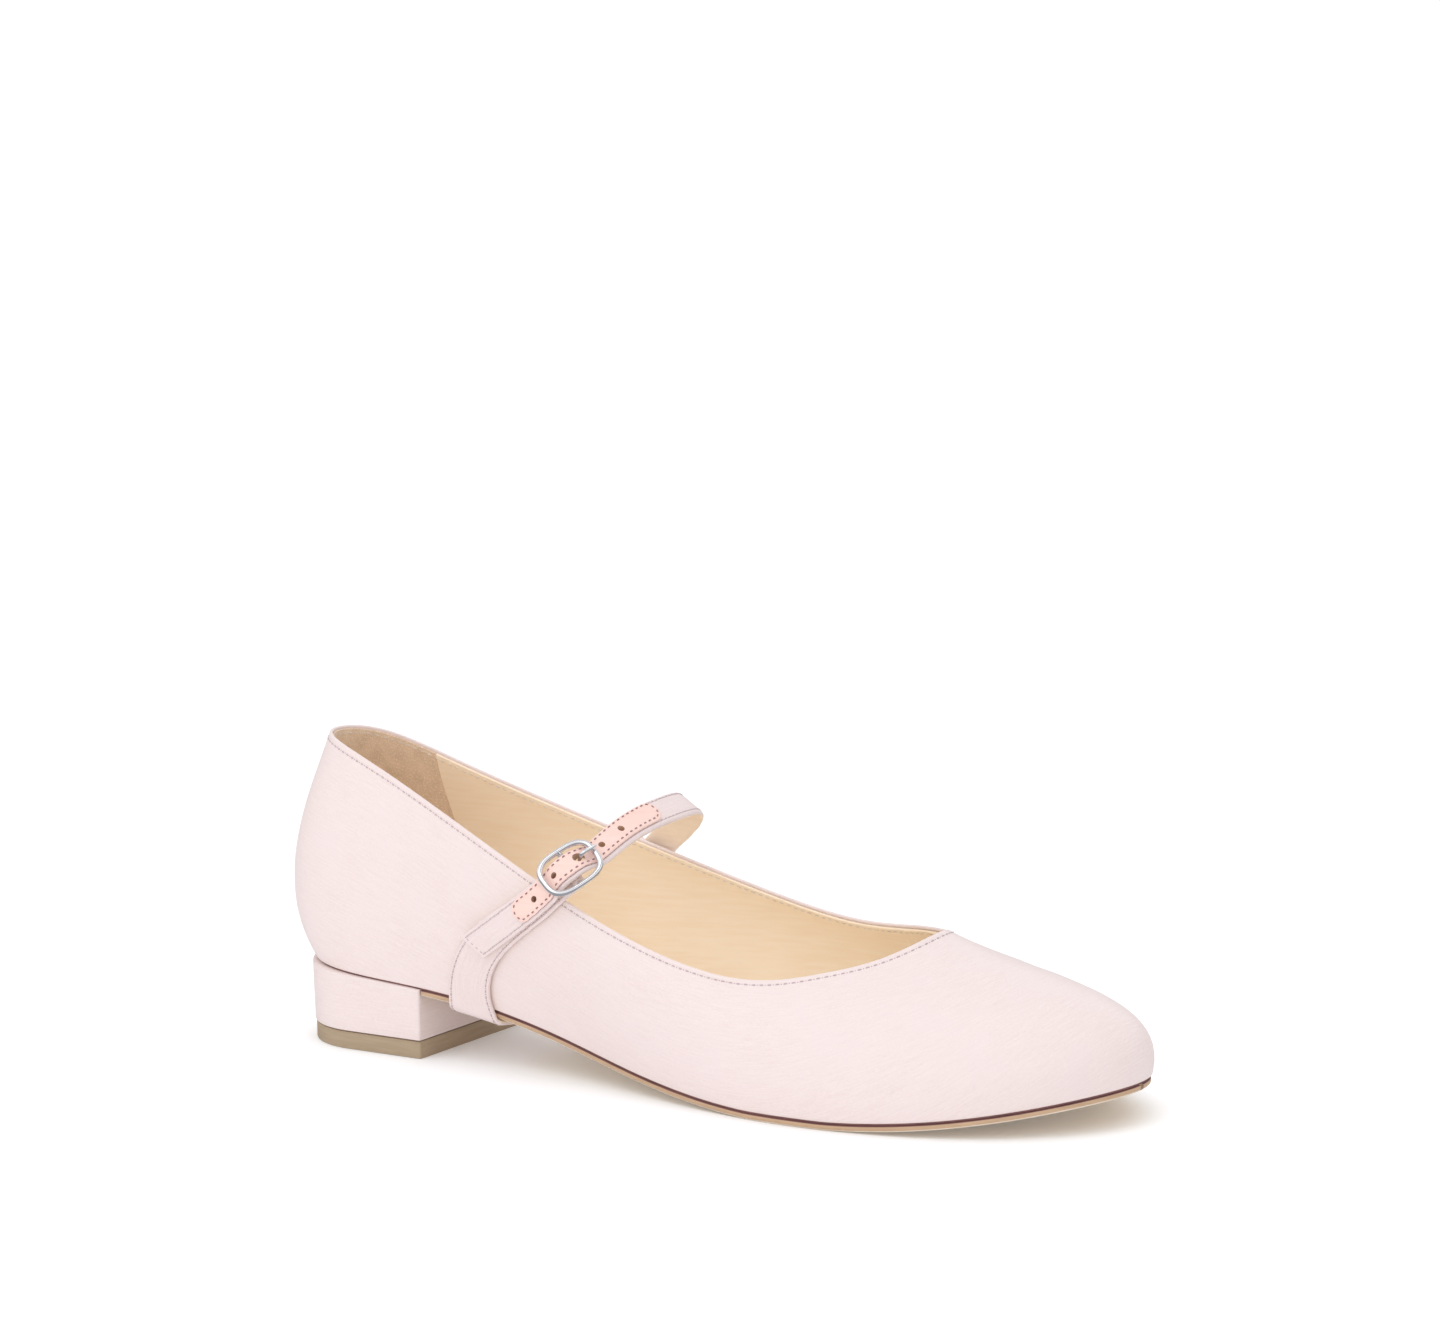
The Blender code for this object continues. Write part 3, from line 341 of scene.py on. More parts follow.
def wall_length(u):
    """Length of the wall from collar to feather line at u."""
    return np.interp(np.asarray(u) % 1.0, np.arange(TABLE_U + 1) / TABLE_U,
                     np.append(WALL_LENGTHS, WALL_LENGTHS[0]))


def around_length(u):
    """Length round the shoe at half height, from the back of the heel."""
    whole = np.floor(u)
    return whole * AROUND[-1] + np.interp(u - whole, np.arange(TABLE_U + 1) / TABLE_U, AROUND)


def wall_at(u, below, depth=0.0):
    """Points and outward normals at lengths below the collar, moved inwards by depth."""
    u, below = np.broadcast_arrays(np.asarray(u, float), np.asarray(below, float))
    a = (u % 1.0) * TABLE_U
    i = np.minimum(a.astype(int), TABLE_U - 1)
    b = np.clip(below / wall_length(u), 0.0, 1.0) * (TABLE_S - 1)
    k = np.minimum(b.astype(int), TABLE_S - 2)
    f, g, j = a - i, b - k, (i + 1) % TABLE_U
    v = ((WALL_SHARES[i, k] * (1 - g) + WALL_SHARES[i, k + 1] * g) * (1 - f)
         + (WALL_SHARES[j, k] * (1 - g) + WALL_SHARES[j, k + 1] * g) * f).reshape(-1, 1)
    points = wall_points(u.ravel(), v)[:, 0].reshape(*u.shape, 3)
    normals = wall_normals(u.ravel(), v)[:, 0].reshape(*u.shape, 3)
    return points - normals * np.asarray(depth)[..., None], normals


print("wall heights, mm:", (wall_length(np.array([0.0, 0.25, 0.5, 0.75])) / MM).round(1),
      "round the shoe:", round(AROUND[-1] / MM, 1))


# %% Mesh helpers
def to_model(points):
    """From the last's place, x = 0 at the back of the heel, to the model's."""
    return np.asarray(points, float) - np.array([ORIGIN_X, 0.0, 0.0])


def make_piece(name, points, faces, materials, face_slots=None, cloth=None, sharp=None):
    """A mesh piece in the model's place. cloth holds one (across, along) pair in mm a point."""
    mesh = bpy.data.meshes.new(name)
    mesh.from_pydata(to_model(points).tolist(), [], [tuple(int(i) for i in f) for f in faces])
    for material in materials:
        mesh.materials.append(material)
    if face_slots is not None:
        mesh.polygons.foreach_set("material_index", np.asarray(face_slots, np.int32))
    if cloth is not None:
        layer = mesh.uv_layers.new(name="cloth")
        corner = np.zeros(len(mesh.loops), np.int32)
        mesh.loops.foreach_get("vertex_index", corner)
        cloth = np.asarray(cloth, float)
        per_corner = cloth if len(cloth) == len(corner) else cloth[corner]
        layer.data.foreach_set("uv", per_corner.ravel())
    bm = bmesh.new()
    bm.from_mesh(mesh)
    bmesh.ops.recalc_face_normals(bm, faces=bm.faces)
    bm.to_mesh(mesh)
    bm.free()
    mesh.shade_smooth()
    if sharp is not None:
        mesh.set_sharp_from_angle(angle=math.radians(sharp))
    piece = bpy.data.objects.new(name, mesh)
    bpy.context.scene.collection.objects.link(piece)
    return piece


def grid_faces(rows, around, close_rows=False):
    """Quads of a grid of closed rings. close_rows also joins the last ring to the first."""
    last = rows if close_rows else rows - 1
    i = np.arange(last)[:, None]
    k = np.arange(around)[None]
    j, l = (i + 1) % rows, (k + 1) % around
    quads = np.stack([i * around + k, i * around + l, j * around + l, j * around + k], -1)
    return quads.reshape(-1, 4)


def capped_loft(rings):
    """Points and faces of a loft through rings, its two ends closed."""
    rings = np.asarray(rings)
    rows, around = rings.shape[:2]
    faces = [tuple(q) for q in grid_faces(rows, around)]
    faces.append(tuple(range(around)))
    faces.append(tuple((rows - 1) * around + k for k in range(around)))
    return rings.reshape(-1, 3), faces


def dress(piece, slot, *nodes):
    """A finished piece rides on the shoe and stands for its solids."""
    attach(piece, "root")
    if nodes:
        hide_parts(*nodes)
    print(piece.name, len(piece.data.polygons), "faces")
    return piece


print("helpers ready")

# %% [markdown]
# ## Finishes as node groups
# Cloth, leather and stains repeat over many pieces, so each effect is one node group. The satin
# is woven from long shiny warp threads over a thin weft, which shows as fine streaks along the
# cloth with a few thicker slubs. Two stretched noises give them. They could be drawn as an image,
# but noise needs none and stays sharp at any distance. Leather gets small cells with pores.


# %% Group helpers
def new_group(name, inputs, outputs):
    """A shader node group with named float or vector sockets."""
    tree = bpy.data.node_groups.new(name, "ShaderNodeTree")
    for socket, value in inputs:
        kind = "NodeSocketVector" if value is None else "NodeSocketFloat"
        made = tree.interface.new_socket(name=socket, in_out="INPUT", socket_type=kind)
        if value is not None:
            made.default_value = value
    for socket in outputs:
        tree.interface.new_socket(name=socket, in_out="OUTPUT", socket_type="NodeSocketFloat")
    return tree, tree.nodes.new("NodeGroupInput"), tree.nodes.new("NodeGroupOutput")


def stretched_noise(tree, vector, along, across, detail=2.0):
    """Noise whose spots are along by across mm on the cloth."""
    size = add_node(tree, "ShaderNodeCombineXYZ", {0: along, 1: across, 2: 1.0}).outputs[0]
    place = add_node(tree, "ShaderNodeVectorMath", {0: vector, 1: size},
                     operation="DIVIDE").outputs[0]
    return add_node(tree, "ShaderNodeTexNoise",
                    {"Vector": place, "Scale": 1.0, "Detail": detail}).outputs["Fac"]


# %% Weave, cloud and grain groups
weave, given, gives = new_group("satin_weave", (
    ("Vector", None), ("Thread", 0.20), ("Streak", 1.1), ("Slub", 7.0)),
    ("Tone", "Height"))
warp = stretched_noise(weave, given.outputs["Vector"], given.outputs["Streak"],
                       given.outputs["Thread"])
weft = stretched_noise(weave, given.outputs["Vector"], given.outputs["Thread"],
                       maths(weave, "MULTIPLY", given.outputs["Thread"], 4.0))
slub = stretched_noise(weave, given.outputs["Vector"], given.outputs["Slub"],
                       maths(weave, "MULTIPLY", given.outputs["Thread"], 2.4), 1.0)
threads = maths(weave, "MULTIPLY_ADD", weft, 0.35, maths(weave, "MULTIPLY", warp, 0.65))
weave.links.new(maths(weave, "MULTIPLY_ADD", slub, 0.35, maths(weave, "MULTIPLY", threads, 0.65)),
                gives.inputs["Tone"])
weave.links.new(threads, gives.inputs["Height"])

cloud, given, gives = new_group("soft_cloud", (("Vector", None), ("Size", 20.0)), ("Mask",))
spots = stretched_noise(cloud, given.outputs["Vector"], given.outputs["Size"],
                        given.outputs["Size"], 3.0)
spread = add_node(cloud, "ShaderNodeMapRange", {"Value": spots, "From Min": 0.34, "From Max": 0.66})
cloud.links.new(spread.outputs[0], gives.inputs["Mask"])

grain, given, gives = new_group("leather_grain", (("Vector", None), ("Cell", 0.6)),
                                ("Height", "Pores"))
size = add_node(grain, "ShaderNodeCombineXYZ", {0: given.outputs["Cell"], 1: given.outputs["Cell"],
                                                2: given.outputs["Cell"]}).outputs[0]
place = add_node(grain, "ShaderNodeVectorMath", {0: given.outputs["Vector"], 1: size},
                 operation="DIVIDE").outputs[0]
cells = add_node(grain, "ShaderNodeTexVoronoi", {"Vector": place, "Scale": 1.0}).outputs["Distance"]
fine = add_node(grain, "ShaderNodeTexNoise", {"Vector": place, "Scale": 2.3, "Detail": 3.0})
grain.links.new(maths(grain, "MULTIPLY_ADD", fine.outputs["Fac"], 0.5,
                      maths(grain, "MULTIPLY", cells, 0.5)), gives.inputs["Height"])
pores = add_node(grain, "ShaderNodeMapRange", {"Value": cells, "From Min": 0.16, "From Max": 0.05})
grain.links.new(pores.outputs[0], gives.inputs["Pores"])
print("groups:", weave.name, cloud.name, grain.name)


# %% Material helpers
def start_material(name, roughness, **sockets):
    """A material, its tree and its Principled BSDF with plain values set."""
    material = bpy.data.materials.new(name)
    material.use_nodes = True
    tree = material.node_tree
    surface = tree.nodes["Principled BSDF"]
    surface.inputs["Roughness"].default_value = roughness
    for key, value in sockets.items():
        surface.inputs[key.replace("_", " ")].default_value = value
    return material, tree, surface


def cloth_place(tree):
    """Place on the cloth in mm: across and along, from the mesh's own cloth map."""
    return add_node(tree, "ShaderNodeUVMap", uv_map="cloth").outputs[0]


def solid_place(tree):
    """Place in the piece in mm."""
    found = add_node(tree, "ShaderNodeTexCoord").outputs["Object"]
    return add_node(tree, "ShaderNodeVectorMath", {0: found, 1: (1000.0,) * 3},
                    operation="MULTIPLY").outputs[0]


def use_group(tree, group, **inputs):
    """A group placed in a material with its own values."""
    node = tree.nodes.new("ShaderNodeGroup")
    node.node_tree = group
    for key, value in inputs.items():
        if isinstance(value, bpy.types.NodeSocket):
            tree.links.new(value, node.inputs[key])
        else:
            node.inputs[key].default_value = value
    return node.outputs


def bump(tree, surface, height, strength, distance):
    """A relief of distance mm from a height between 0 and 1."""
    node = add_node(tree, "ShaderNodeBump", {"Strength": strength, "Distance": distance * MM,
                                             "Height": height})
    tree.links.new(node.outputs[0], surface.inputs["Normal"])


# %% [markdown]
# ## Satin
# The cloth is a very pale pink. Its lit side leans to cream and its shaded side to mauve, and
# its threads scatter light softly, so a sheen over a half-rough surface suits it better than a
# clear gloss.


# %% Satin material
def satin_finish(name, light, shade, thread=0.20):
    """Woven satin between a light and a shaded thread colour."""
    material, tree, surface = start_material(name, 0.46, Sheen_Weight=0.22, Sheen_Roughness=0.35,
                                             Specular_IOR_Level=0.36)
    surface.inputs["Sheen Tint"].default_value = (1.0, 0.93, 0.93, 1)
    place = cloth_place(tree)
    threads = use_group(tree, weave, Vector=place, Thread=thread)
    mottle = use_group(tree, cloud, Vector=place, Size=16.0)["Mask"]
    tone = add_node(tree, "ShaderNodeMapRange", {"Value": threads["Tone"], "From Min": 0.34,
                                                 "From Max": 0.62}).outputs[0]
    speckle = stretched_noise(tree, place, 0.9, 0.7, 2.0)
    tone = maths(tree, "MULTIPLY_ADD", speckle, 0.5, maths(tree, "MULTIPLY", tone, 0.75))
    colour = blend_colour(tree, tone, shade, light)
    mauve = tuple(c * k for c, k in zip(light, (0.97, 0.965, 0.995)))
    colour = blend_colour(tree, maths(tree, "MULTIPLY", mottle, 0.5), colour, mauve)
    tree.links.new(colour, surface.inputs["Base Color"])
    rough = maths(tree, "MULTIPLY_ADD", threads["Height"], 0.16, 0.38)
    tree.links.new(rough, surface.inputs["Roughness"])
    bump(tree, surface, threads["Height"], 0.28, 0.05)
    return material


satin = satin_finish("pink_satin", (0.885, 0.765, 0.735), (0.775, 0.630, 0.612))
strap_satin = satin_finish("strap_satin", (0.865, 0.740, 0.715), (0.755, 0.610, 0.597), 0.18)
print("satin for the upper and for the straps")


# %% Leather, suede and rubber materials
def leather_finish(name, light, dark, roughness, cell=0.6):
    """Smooth leather with a small grain, pores and soft stains."""
    material, tree, surface = start_material(name, roughness, Specular_IOR_Level=0.35)
    place = solid_place(tree)
    grains = use_group(tree, grain, Vector=place, Cell=cell)
    mottle = use_group(tree, cloud, Vector=place, Size=11.0)["Mask"]
    colour = blend_colour(tree, maths(tree, "MULTIPLY", mottle, 0.6), light, dark)
    colour = blend_colour(tree, maths(tree, "MULTIPLY", grains["Pores"], 0.5), colour, dark)
    tree.links.new(colour, surface.inputs["Base Color"])
    rough = maths(tree, "MULTIPLY_ADD", mottle, 0.12, roughness - 0.06)
    tree.links.new(rough, surface.inputs["Roughness"])
    bump(tree, surface, grains["Height"], 0.25, 0.06)
    return material


lining_leather = leather_finish("lining_leather", (1.0, 0.855, 0.68), (0.97, 0.785, 0.585), 0.46)
sock_leather = leather_finish("sock_leather", (1.0, 0.91, 0.755), (0.98, 0.85, 0.67), 0.48)
strap_leather = leather_finish("strap_lining", (0.96, 0.82, 0.68), (0.91, 0.75, 0.60), 0.55)
edge_leather = leather_finish("sole_edge", (0.62, 0.42, 0.27), (0.50, 0.325, 0.20), 0.42, 0.4)
bevel_leather = leather_finish("sole_bevel", (0.86, 0.76, 0.64), (0.76, 0.63, 0.49), 0.5, 0.4)
under_leather = leather_finish("sole_under", (0.66, 0.48, 0.29), (0.55, 0.38, 0.21), 0.55, 0.9)
peach_leather = leather_finish("peach_leather", (0.96, 0.70, 0.63), (0.915, 0.62, 0.55), 0.45, 0.5)
taupe_rubber = leather_finish("taupe_rubber", (0.45, 0.345, 0.235), (0.37, 0.27, 0.18), 0.62, 0.3)
seam_brown = leather_finish("seam_brown", (0.24, 0.11, 0.10), (0.14, 0.065, 0.065), 0.6, 0.3)
cut_edge = leather_finish("cut_edge", (0.62, 0.41, 0.30), (0.46, 0.28, 0.19), 0.7, 0.25)


def suede_finish(name, light, dark, fleck):
    """Suede: a matt nap with stains of several sizes and pale flecks where it is rubbed."""
    material, tree, surface = start_material(name, 0.92, Sheen_Weight=0.25, Sheen_Roughness=0.6,
                                             Specular_IOR_Level=0.15)
    place = cloth_place(tree)
    nap = stretched_noise(tree, place, 0.45, 0.45, 4.0)
    patches = use_group(tree, cloud, Vector=place, Size=5.0)["Mask"]
    tone = maths(tree, "MULTIPLY_ADD", patches, 0.4, maths(tree, "MULTIPLY", nap, 0.8))
    colour = blend_colour(tree, tone, dark, light)
    rubbed = add_node(tree, "ShaderNodeMapRange", {"Value": nap, "From Min": 0.55,
                                                   "From Max": 0.68}).outputs[0]
    colour = blend_colour(tree, maths(tree, "MULTIPLY", rubbed, 0.7), colour, fleck)
    tree.links.new(colour, surface.inputs["Base Color"])
    bump(tree, surface, nap, 0.5, 0.12)
    return material


suede = suede_finish("grip_suede", (0.90, 0.70, 0.53), (0.60, 0.44, 0.31), (1.0, 0.88, 0.74))


def thread_finish(name, colour):
    """Twisted sewing thread: fine plies across each stitch."""
    material, tree, surface = start_material(name, 0.5, Sheen_Weight=0.2)
    place = solid_place(tree)
    plies = stretched_noise(tree, place, 0.12, 0.12, 1.0)
    dark = tuple(c * 0.72 for c in colour)
    tree.links.new(blend_colour(tree, plies, dark, colour), surface.inputs["Base Color"])
    bump(tree, surface, plies, 0.4, 0.04)
    return material


mauve_thread = thread_finish("mauve_thread", (0.66, 0.53, 0.56))
pale_thread = thread_finish("pale_thread", (0.88, 0.80, 0.74))
rose_thread = thread_finish("rose_thread", (0.36, 0.19, 0.205))
# Dark mauve for the needle-hole discs: painted shade for the inside of a hole, not a thread.
painted_hole_shade = thread_finish("painted_hole_shade", (0.52, 0.39, 0.41))


def plated_finish(name, bright, wiped):
    """Bright plating with faint wipe marks in its gloss."""
    material, tree, surface = start_material(name, 0.10, Metallic=1.0)
    wipes = stretched_noise(tree, solid_place(tree), 5.0, 3.0, 1.0)
    tree.links.new(blend_colour(tree, wipes, bright, wiped), surface.inputs["Base Color"])
    tree.links.new(maths(tree, "MULTIPLY_ADD", wipes, 0.08, 0.04), surface.inputs["Roughness"])
    return material


polished_metal = plated_finish("polished_metal", (0.88, 0.88, 0.90), (0.74, 0.74, 0.77))
print("leathers, suede, rubber, thread and metal")

# %% [markdown]
# ## The upper
# A satin upper is folded over at the collar and stitched about two millimetres below the edge,
# where the thread pulls a small groove into the cloth. At the bottom the cloth turns in under
# the shoe. The piece is one closed shell. Every column of it is a ring that runs up the outside,
# over the fold and down the inside.

# %% Upper's ring of rows
COLUMNS = 400
CLOTH = 0.9 * MM            # satin with its backing
FOLD = CLOTH / 2            # radius of the folded edge
STITCH_BELOW = 1.75 * MM    # stitch line under the collar
FEATHER_TURN = 0.7 * MM     # radius of the turned-in lower edge
near_collar = np.array([0.45, 0.65, 0.85, 1.05, 1.25, 1.4, 1.55, 1.65, 1.75, 1.85, 1.95, 2.1, 2.3,
                        2.6, 3.0, 3.5, 4.1, 5.0]) * MM
near_feather = FEATHER_TURN * np.array([2.2, 1.6, 1.2, 0.95, 0.7, 0.45, 0.25, 0.1, 0.0])
u = np.arange(COLUMNS) / COLUMNS
wall_total = wall_length(u)[:, None]
spread = np.linspace(0, 1, 32)[None, 1:-1]
main_rows = near_collar[-1] + (wall_total - near_feather[0] - near_collar[-1]) * spread
below = np.hstack([np.repeat(near_collar[None], COLUMNS, 0), main_rows, wall_total - near_feather])

# Soft troughs and ridges. around and height are shares, the rest is in mm.
CREASES = (
    # around, height, length, width, depth, turn in degrees
    (0.500, 0.800, 16.0, 3.2, 0.30, 4),
    (0.462, 0.640, 15.0, 3.5, 0.22, -14),
    (0.538, 0.640, 15.0, 3.5, 0.22, 14),
    (0.400, 0.560, 18.0, 4.0, 0.18, -22),
    (0.330, 0.620, 16.0, 4.0, 0.20, -12),
    (0.262, 0.520, 15.0, 3.5, 0.16, 10),
    (0.150, 0.420, 14.0, 4.5, 0.20, 24),
    (0.060, 0.330, 13.0, 5.0, 0.22, 8),
    (0.940, 0.330, 13.0, 5.0, 0.22, -8),
    (0.850, 0.420, 14.0, 4.5, 0.20, -24),
    (0.740, 0.520, 15.0, 3.5, 0.16, -10),
    (0.660, 0.600, 16.0, 4.0, 0.20, 12),
    (0.600, 0.560, 18.0, 4.0, 0.18, 22),
)


def cloth_relief(u, below):
    """How far the cloth dips below the last's form: stitch groove, rolled edge and creases."""
    dip = 0.10 * MM * np.exp(-((below - STITCH_BELOW) / (0.30 * MM)) ** 2)
    dip -= 0.02 * MM * np.exp(-((below - STITCH_BELOW + 0.8 * MM) / (0.5 * MM)) ** 2)
    dip -= 0.02 * MM * np.exp(-((below - STITCH_BELOW - 0.8 * MM) / (0.5 * MM)) ** 2)
    around, total, half = around_length(u), wall_length(u), AROUND[-1] / 2
    for share, height, length, width, depth, turn in CREASES:
        c, s = math.cos(math.radians(turn)), math.sin(math.radians(turn))
        a = (around - around_length(np.array(share)) + half) % AROUND[-1] - half
        b = below - (1 - height) * total
        along, across = a * c + b * s, b * c - a * s
        fall = np.exp(-(along / (length * MM)) ** 2)
        wave = (np.exp(-(across / (width * MM)) ** 2)
                - 0.5 * np.exp(-(across / (2 * width * MM)) ** 2))
        dip += depth * MM * fall * wave
    ripple = np.sin(around / (7.3 * MM)) * np.sin(below / (5.1 * MM) + around / (23 * MM))
    return dip + 0.025 * MM * ripple


turn_in = np.clip(1 - (wall_total - below) / FEATHER_TURN, 0, 1)
outer_depth = (cloth_relief(u[:, None], below)
               + FEATHER_TURN * (1 - np.sqrt(1 - turn_in ** 2 * 0.98)))
print("rows up the outside:", below.shape[1])

# %% Upper mesh
fold_angle = np.linspace(0, math.pi, 9)[1:-1]
fold_below = FOLD * (1 - np.sin(fold_angle))
fold_depth = FOLD * (1 - np.cos(fold_angle))
inner_rows = FOLD + (wall_total - FOLD) * np.linspace(0, 1, 14)[None] ** 1.2
ring_below = np.hstack([below[:, ::-1], np.repeat(fold_below[None], COLUMNS, 0), inner_rows])
ring_depth = np.hstack([outer_depth[:, ::-1], np.repeat(fold_depth[None], COLUMNS, 0),
                        np.full(inner_rows.shape, CLOTH)])
upper_points, _ = wall_at(np.repeat(u[:, None], ring_below.shape[1], 1), ring_below, ring_depth)


def ring_cloth(around, rows):
    """Cloth map of a closed grid of rings, one (across, along) pair in mm for every corner."""
    n, ring = rows.shape
    i, k = np.arange(n), np.arange(ring)
    j, l = (i + 1) % n, (k + 1) % ring
    a = np.broadcast_to(around[i][:, None], (n, ring))
    b = np.broadcast_to(around[i + 1][:, None], (n, ring))
    across = np.stack([a, a, b, b], -1)
    along = np.stack([rows[i][:, k], rows[i][:, l], rows[j][:, l], rows[j][:, k]], -1)
    return np.stack([across, along], -1).reshape(-1, 2) / MM


ring_around = around_length(np.arange(COLUMNS + 1) / COLUMNS)
upper = make_piece("satin_upper", upper_points.reshape(-1, 3),
                   grid_faces(COLUMNS, ring_below.shape[1], close_rows=True), [satin],
                   cloth=ring_cloth(ring_around, ring_below))
dress(upper, "satin", "upper")

# %% [markdown]
# ## Lining and heel grip
# Inside, a smooth beige leather lines the shoe, and a piece of brown suede holds the heel. Both
# are thin panels that lie against the satin. The lining's front edge overlaps the suede and
# shows as a fine step. A panel is lofted between two seam lines, each ring a closed section.

# %% Lining panels
GRIP_EDGE, GRIP_LEAN = 0.0815, 0.0085   # seam's share round the shoe at the collar, and its lean
LINING_BELOW = 0.55 * MM
LINING_OUT, LINING_IN = CLOTH + 0.05 * MM, WALL + 0.1 * MM
GRIP_IN = LINING_IN - 0.35 * MM   # the suede is thinner than the lining


def seam_share(below):
    """Share round the shoe of the seam between suede and lining."""
    return GRIP_EDGE + GRIP_LEAN * np.clip(below / (25 * MM), 0, 1) ** 1.3


def panel_ring(top, outer, inner, rows, total):
    """Lengths below the collar and depths of a panel's closed section, for each column."""
    half = (inner - outer) / 2
    angle = np.linspace(0, math.pi, 7)[None]
    up = np.linspace(1, 0, rows)[None, :-1] ** 1.15
    outside = top + half + (total - top - half) * up
    arc_below = np.repeat(top + half * (1 - np.sin(angle)), len(total), 0)
    arc_depth = np.repeat(outer + half * (1 - np.cos(angle)), len(total), 0)
    inside = outside[:, ::-1]
    lengths = np.hstack([outside, arc_below, inside])
    depths = np.hstack([np.full(outside.shape, outer), arc_depth, np.full(inside.shape, inner)])
    return lengths, depths


def wall_panel(name, first, last, columns, top, outer, inner, material, rows=26):
    """A thin panel against the wall between two seams, given as shares by length below."""
    t = np.linspace(0, 1, columns)[:, None]
    total = wall_length(first(0.0) + t * (last(0.0) - first(0.0)))
    lengths, depths = panel_ring(top, outer, inner, rows, total)
    u = first(lengths) + t * (last(lengths) - first(lengths))
    lengths = lengths / total * wall_length(u)
    inner_side = depths > (outer + inner) / 2
    sunk = np.exp(-((lengths - STITCH_BELOW) / (0.4 * MM)) ** 2)
    depths = depths - 0.10 * MM * inner_side * sunk
    points, _ = wall_at(u, lengths, depths)
    cloth = np.stack([around_length(u), lengths], -1).reshape(-1, 2) / MM
    loft, faces = capped_loft(points)
    return make_piece(name, loft, faces, [material], cloth=cloth, sharp=60)


lining = wall_panel("upper_lining", seam_share, lambda b: 1 - seam_share(b), 300, LINING_BELOW,
                    LINING_OUT, LINING_IN, lining_leather)
dress(lining, "insole")
grip = wall_panel("heel_grip", lambda b: -0.008 - seam_share(b), lambda b: 0.008 + seam_share(b),
                  90, LINING_BELOW + 0.1 * MM, LINING_OUT, GRIP_IN, suede)
dress(grip, "insole")

# %% [markdown]
# ## Sock, sole and feather line
# The sock is the leather that the foot stands on. The sole is a thin leather sheet with a dyed
# edge, cut a little inside the upper's widest line, and its lower edge is bevelled and left
# pale. A thin dark brown line shows where the upper turns in. All three are lofts along the
# shoe, whose rings follow the feather line drawn inwards.

# %% Feather line and slabs
FEATHER = wall_points(ROUND, np.zeros((TABLE_U, 1)))[:, 0, :2]


def feather_inset(inset):
    """The feather line moved inwards: lateral and medial halves, each from heel to toe."""
    along = np.roll(FEATHER, -1, 0) - np.roll(FEATHER, 1, 0)
    along /= np.linalg.norm(along, axis=1)[:, None]
    line = FEATHER - np.column_stack([along[:, 1], -along[:, 0]]) * inset
    line = np.roll(line, -int(np.argmin(line[:, 0])), 0)
    toe = int(np.argmax(line[:, 0]))
    return line[:toe + 1], np.vstack([line[toe:], line[:1]])[::-1]


def paired_edges(inset, stations, start=None):
    """Lateral and medial points of an inset feather line at matching stations, heel to toe."""
    edges = []
    for side, half in enumerate(feather_inset(inset)):
        first = half[0, 0] if start is None else start[side]
        share = ((1 - np.cos(np.pi * stations)) / 2 if start is None
                 else np.sin(np.pi * stations / 2))
        x = first + (half[-1, 0] - first) * share
        edges.append(np.column_stack([x, np.interp(x, half[:, 0], half[:, 1])]))
    return edges


def slab(name, levels, materials, pick=None, across=13, top_relief=None, sharp=40, cloth=False):
    """A slab lofted along the shoe. levels, lowest first, hold lateral points, medial points
    and heights of the edge. The top and the underside get points across for their relief."""
    lateral = np.stack([np.column_stack([a, height(a[:, 0])]) for a, _, height in levels], 1)
    medial = np.stack([np.column_stack([b, height(b[:, 0])]) for _, b, height in levels], 1)
    t = np.linspace(0, 1, across + 2)[None, 1:-1, None]
    top = lateral[:, -1:] * (1 - t) + medial[:, -1:] * t
    base = medial[:, :1] * (1 - t) + lateral[:, :1] * t
    if top_relief is not None:
        top[..., 2] += top_relief(top[..., 0], np.broadcast_to(t[..., 0], top.shape[:2]))
    rings = np.concatenate([lateral, top, medial[:, ::-1], base], axis=1)
    points, faces = capped_loft(rings)
    count, ring = len(levels), rings.shape[1]
    slots = None
    if pick is not None:
        level_of = np.concatenate([np.arange(count), np.full(across, count),
                                   np.arange(count)[::-1], np.full(across, -1)])
        pair = np.minimum(level_of, np.roll(level_of, -1))
        pair[(level_of == count) | (np.roll(level_of, -1) == count)] = count
        slots = [pick(pair[i % ring]) for i in range(len(faces) - 2)] + [0, 0]
    wrap = None
    if cloth:
        steps = np.linalg.norm(np.diff(lateral[:, -1], axis=0), axis=1)
        along = np.concatenate([[0.0], np.cumsum(steps)])[:, None, None]
        side = np.sign(rings[..., 1:2])
        wrap = np.concatenate([along * side, rings[..., 2:]], axis=2).reshape(-1, 2) / MM
    return make_piece(name, points, faces, materials, slots, cloth=wrap, sharp=sharp)


def raised(offset):
    """A height that follows the feather line."""
    return lambda x: bottom_z(x) + offset


def tread(offset):
    """The sole's lower side, flat on the floor at the tread."""
    return lambda x: np.maximum(bottom_z(x) - TREAD, 0.0) + offset


# %% Sock
STATIONS = np.linspace(0.0, 1.0, 122)[1:-1]
SOCK_EDGE = LINING_IN + 0.35 * MM


def rounded_levels(edge, radius, height, stations, steps=4):
    """Levels of a rounded rim: insets and heights of a quarter circle."""
    return [(*paired_edges(edge + radius * (1 - math.cos(a)), stations),
             height(radius * (math.sin(a) - 1))) for a in np.linspace(0, math.pi / 2, steps + 1)]


def sock_relief(x, t):
    """The sock dips under the heel and the ball, and rises a little at the arch."""
    middle = np.sin(np.pi * t) ** 0.7
    heel = np.exp(-((x - 0.13 * LENGTH) / (0.10 * LENGTH)) ** 2)
    ball = np.exp(-((x - 0.70 * LENGTH) / (0.10 * LENGTH)) ** 2)
    return -middle * (0.55 * heel + 0.30 * ball) * MM


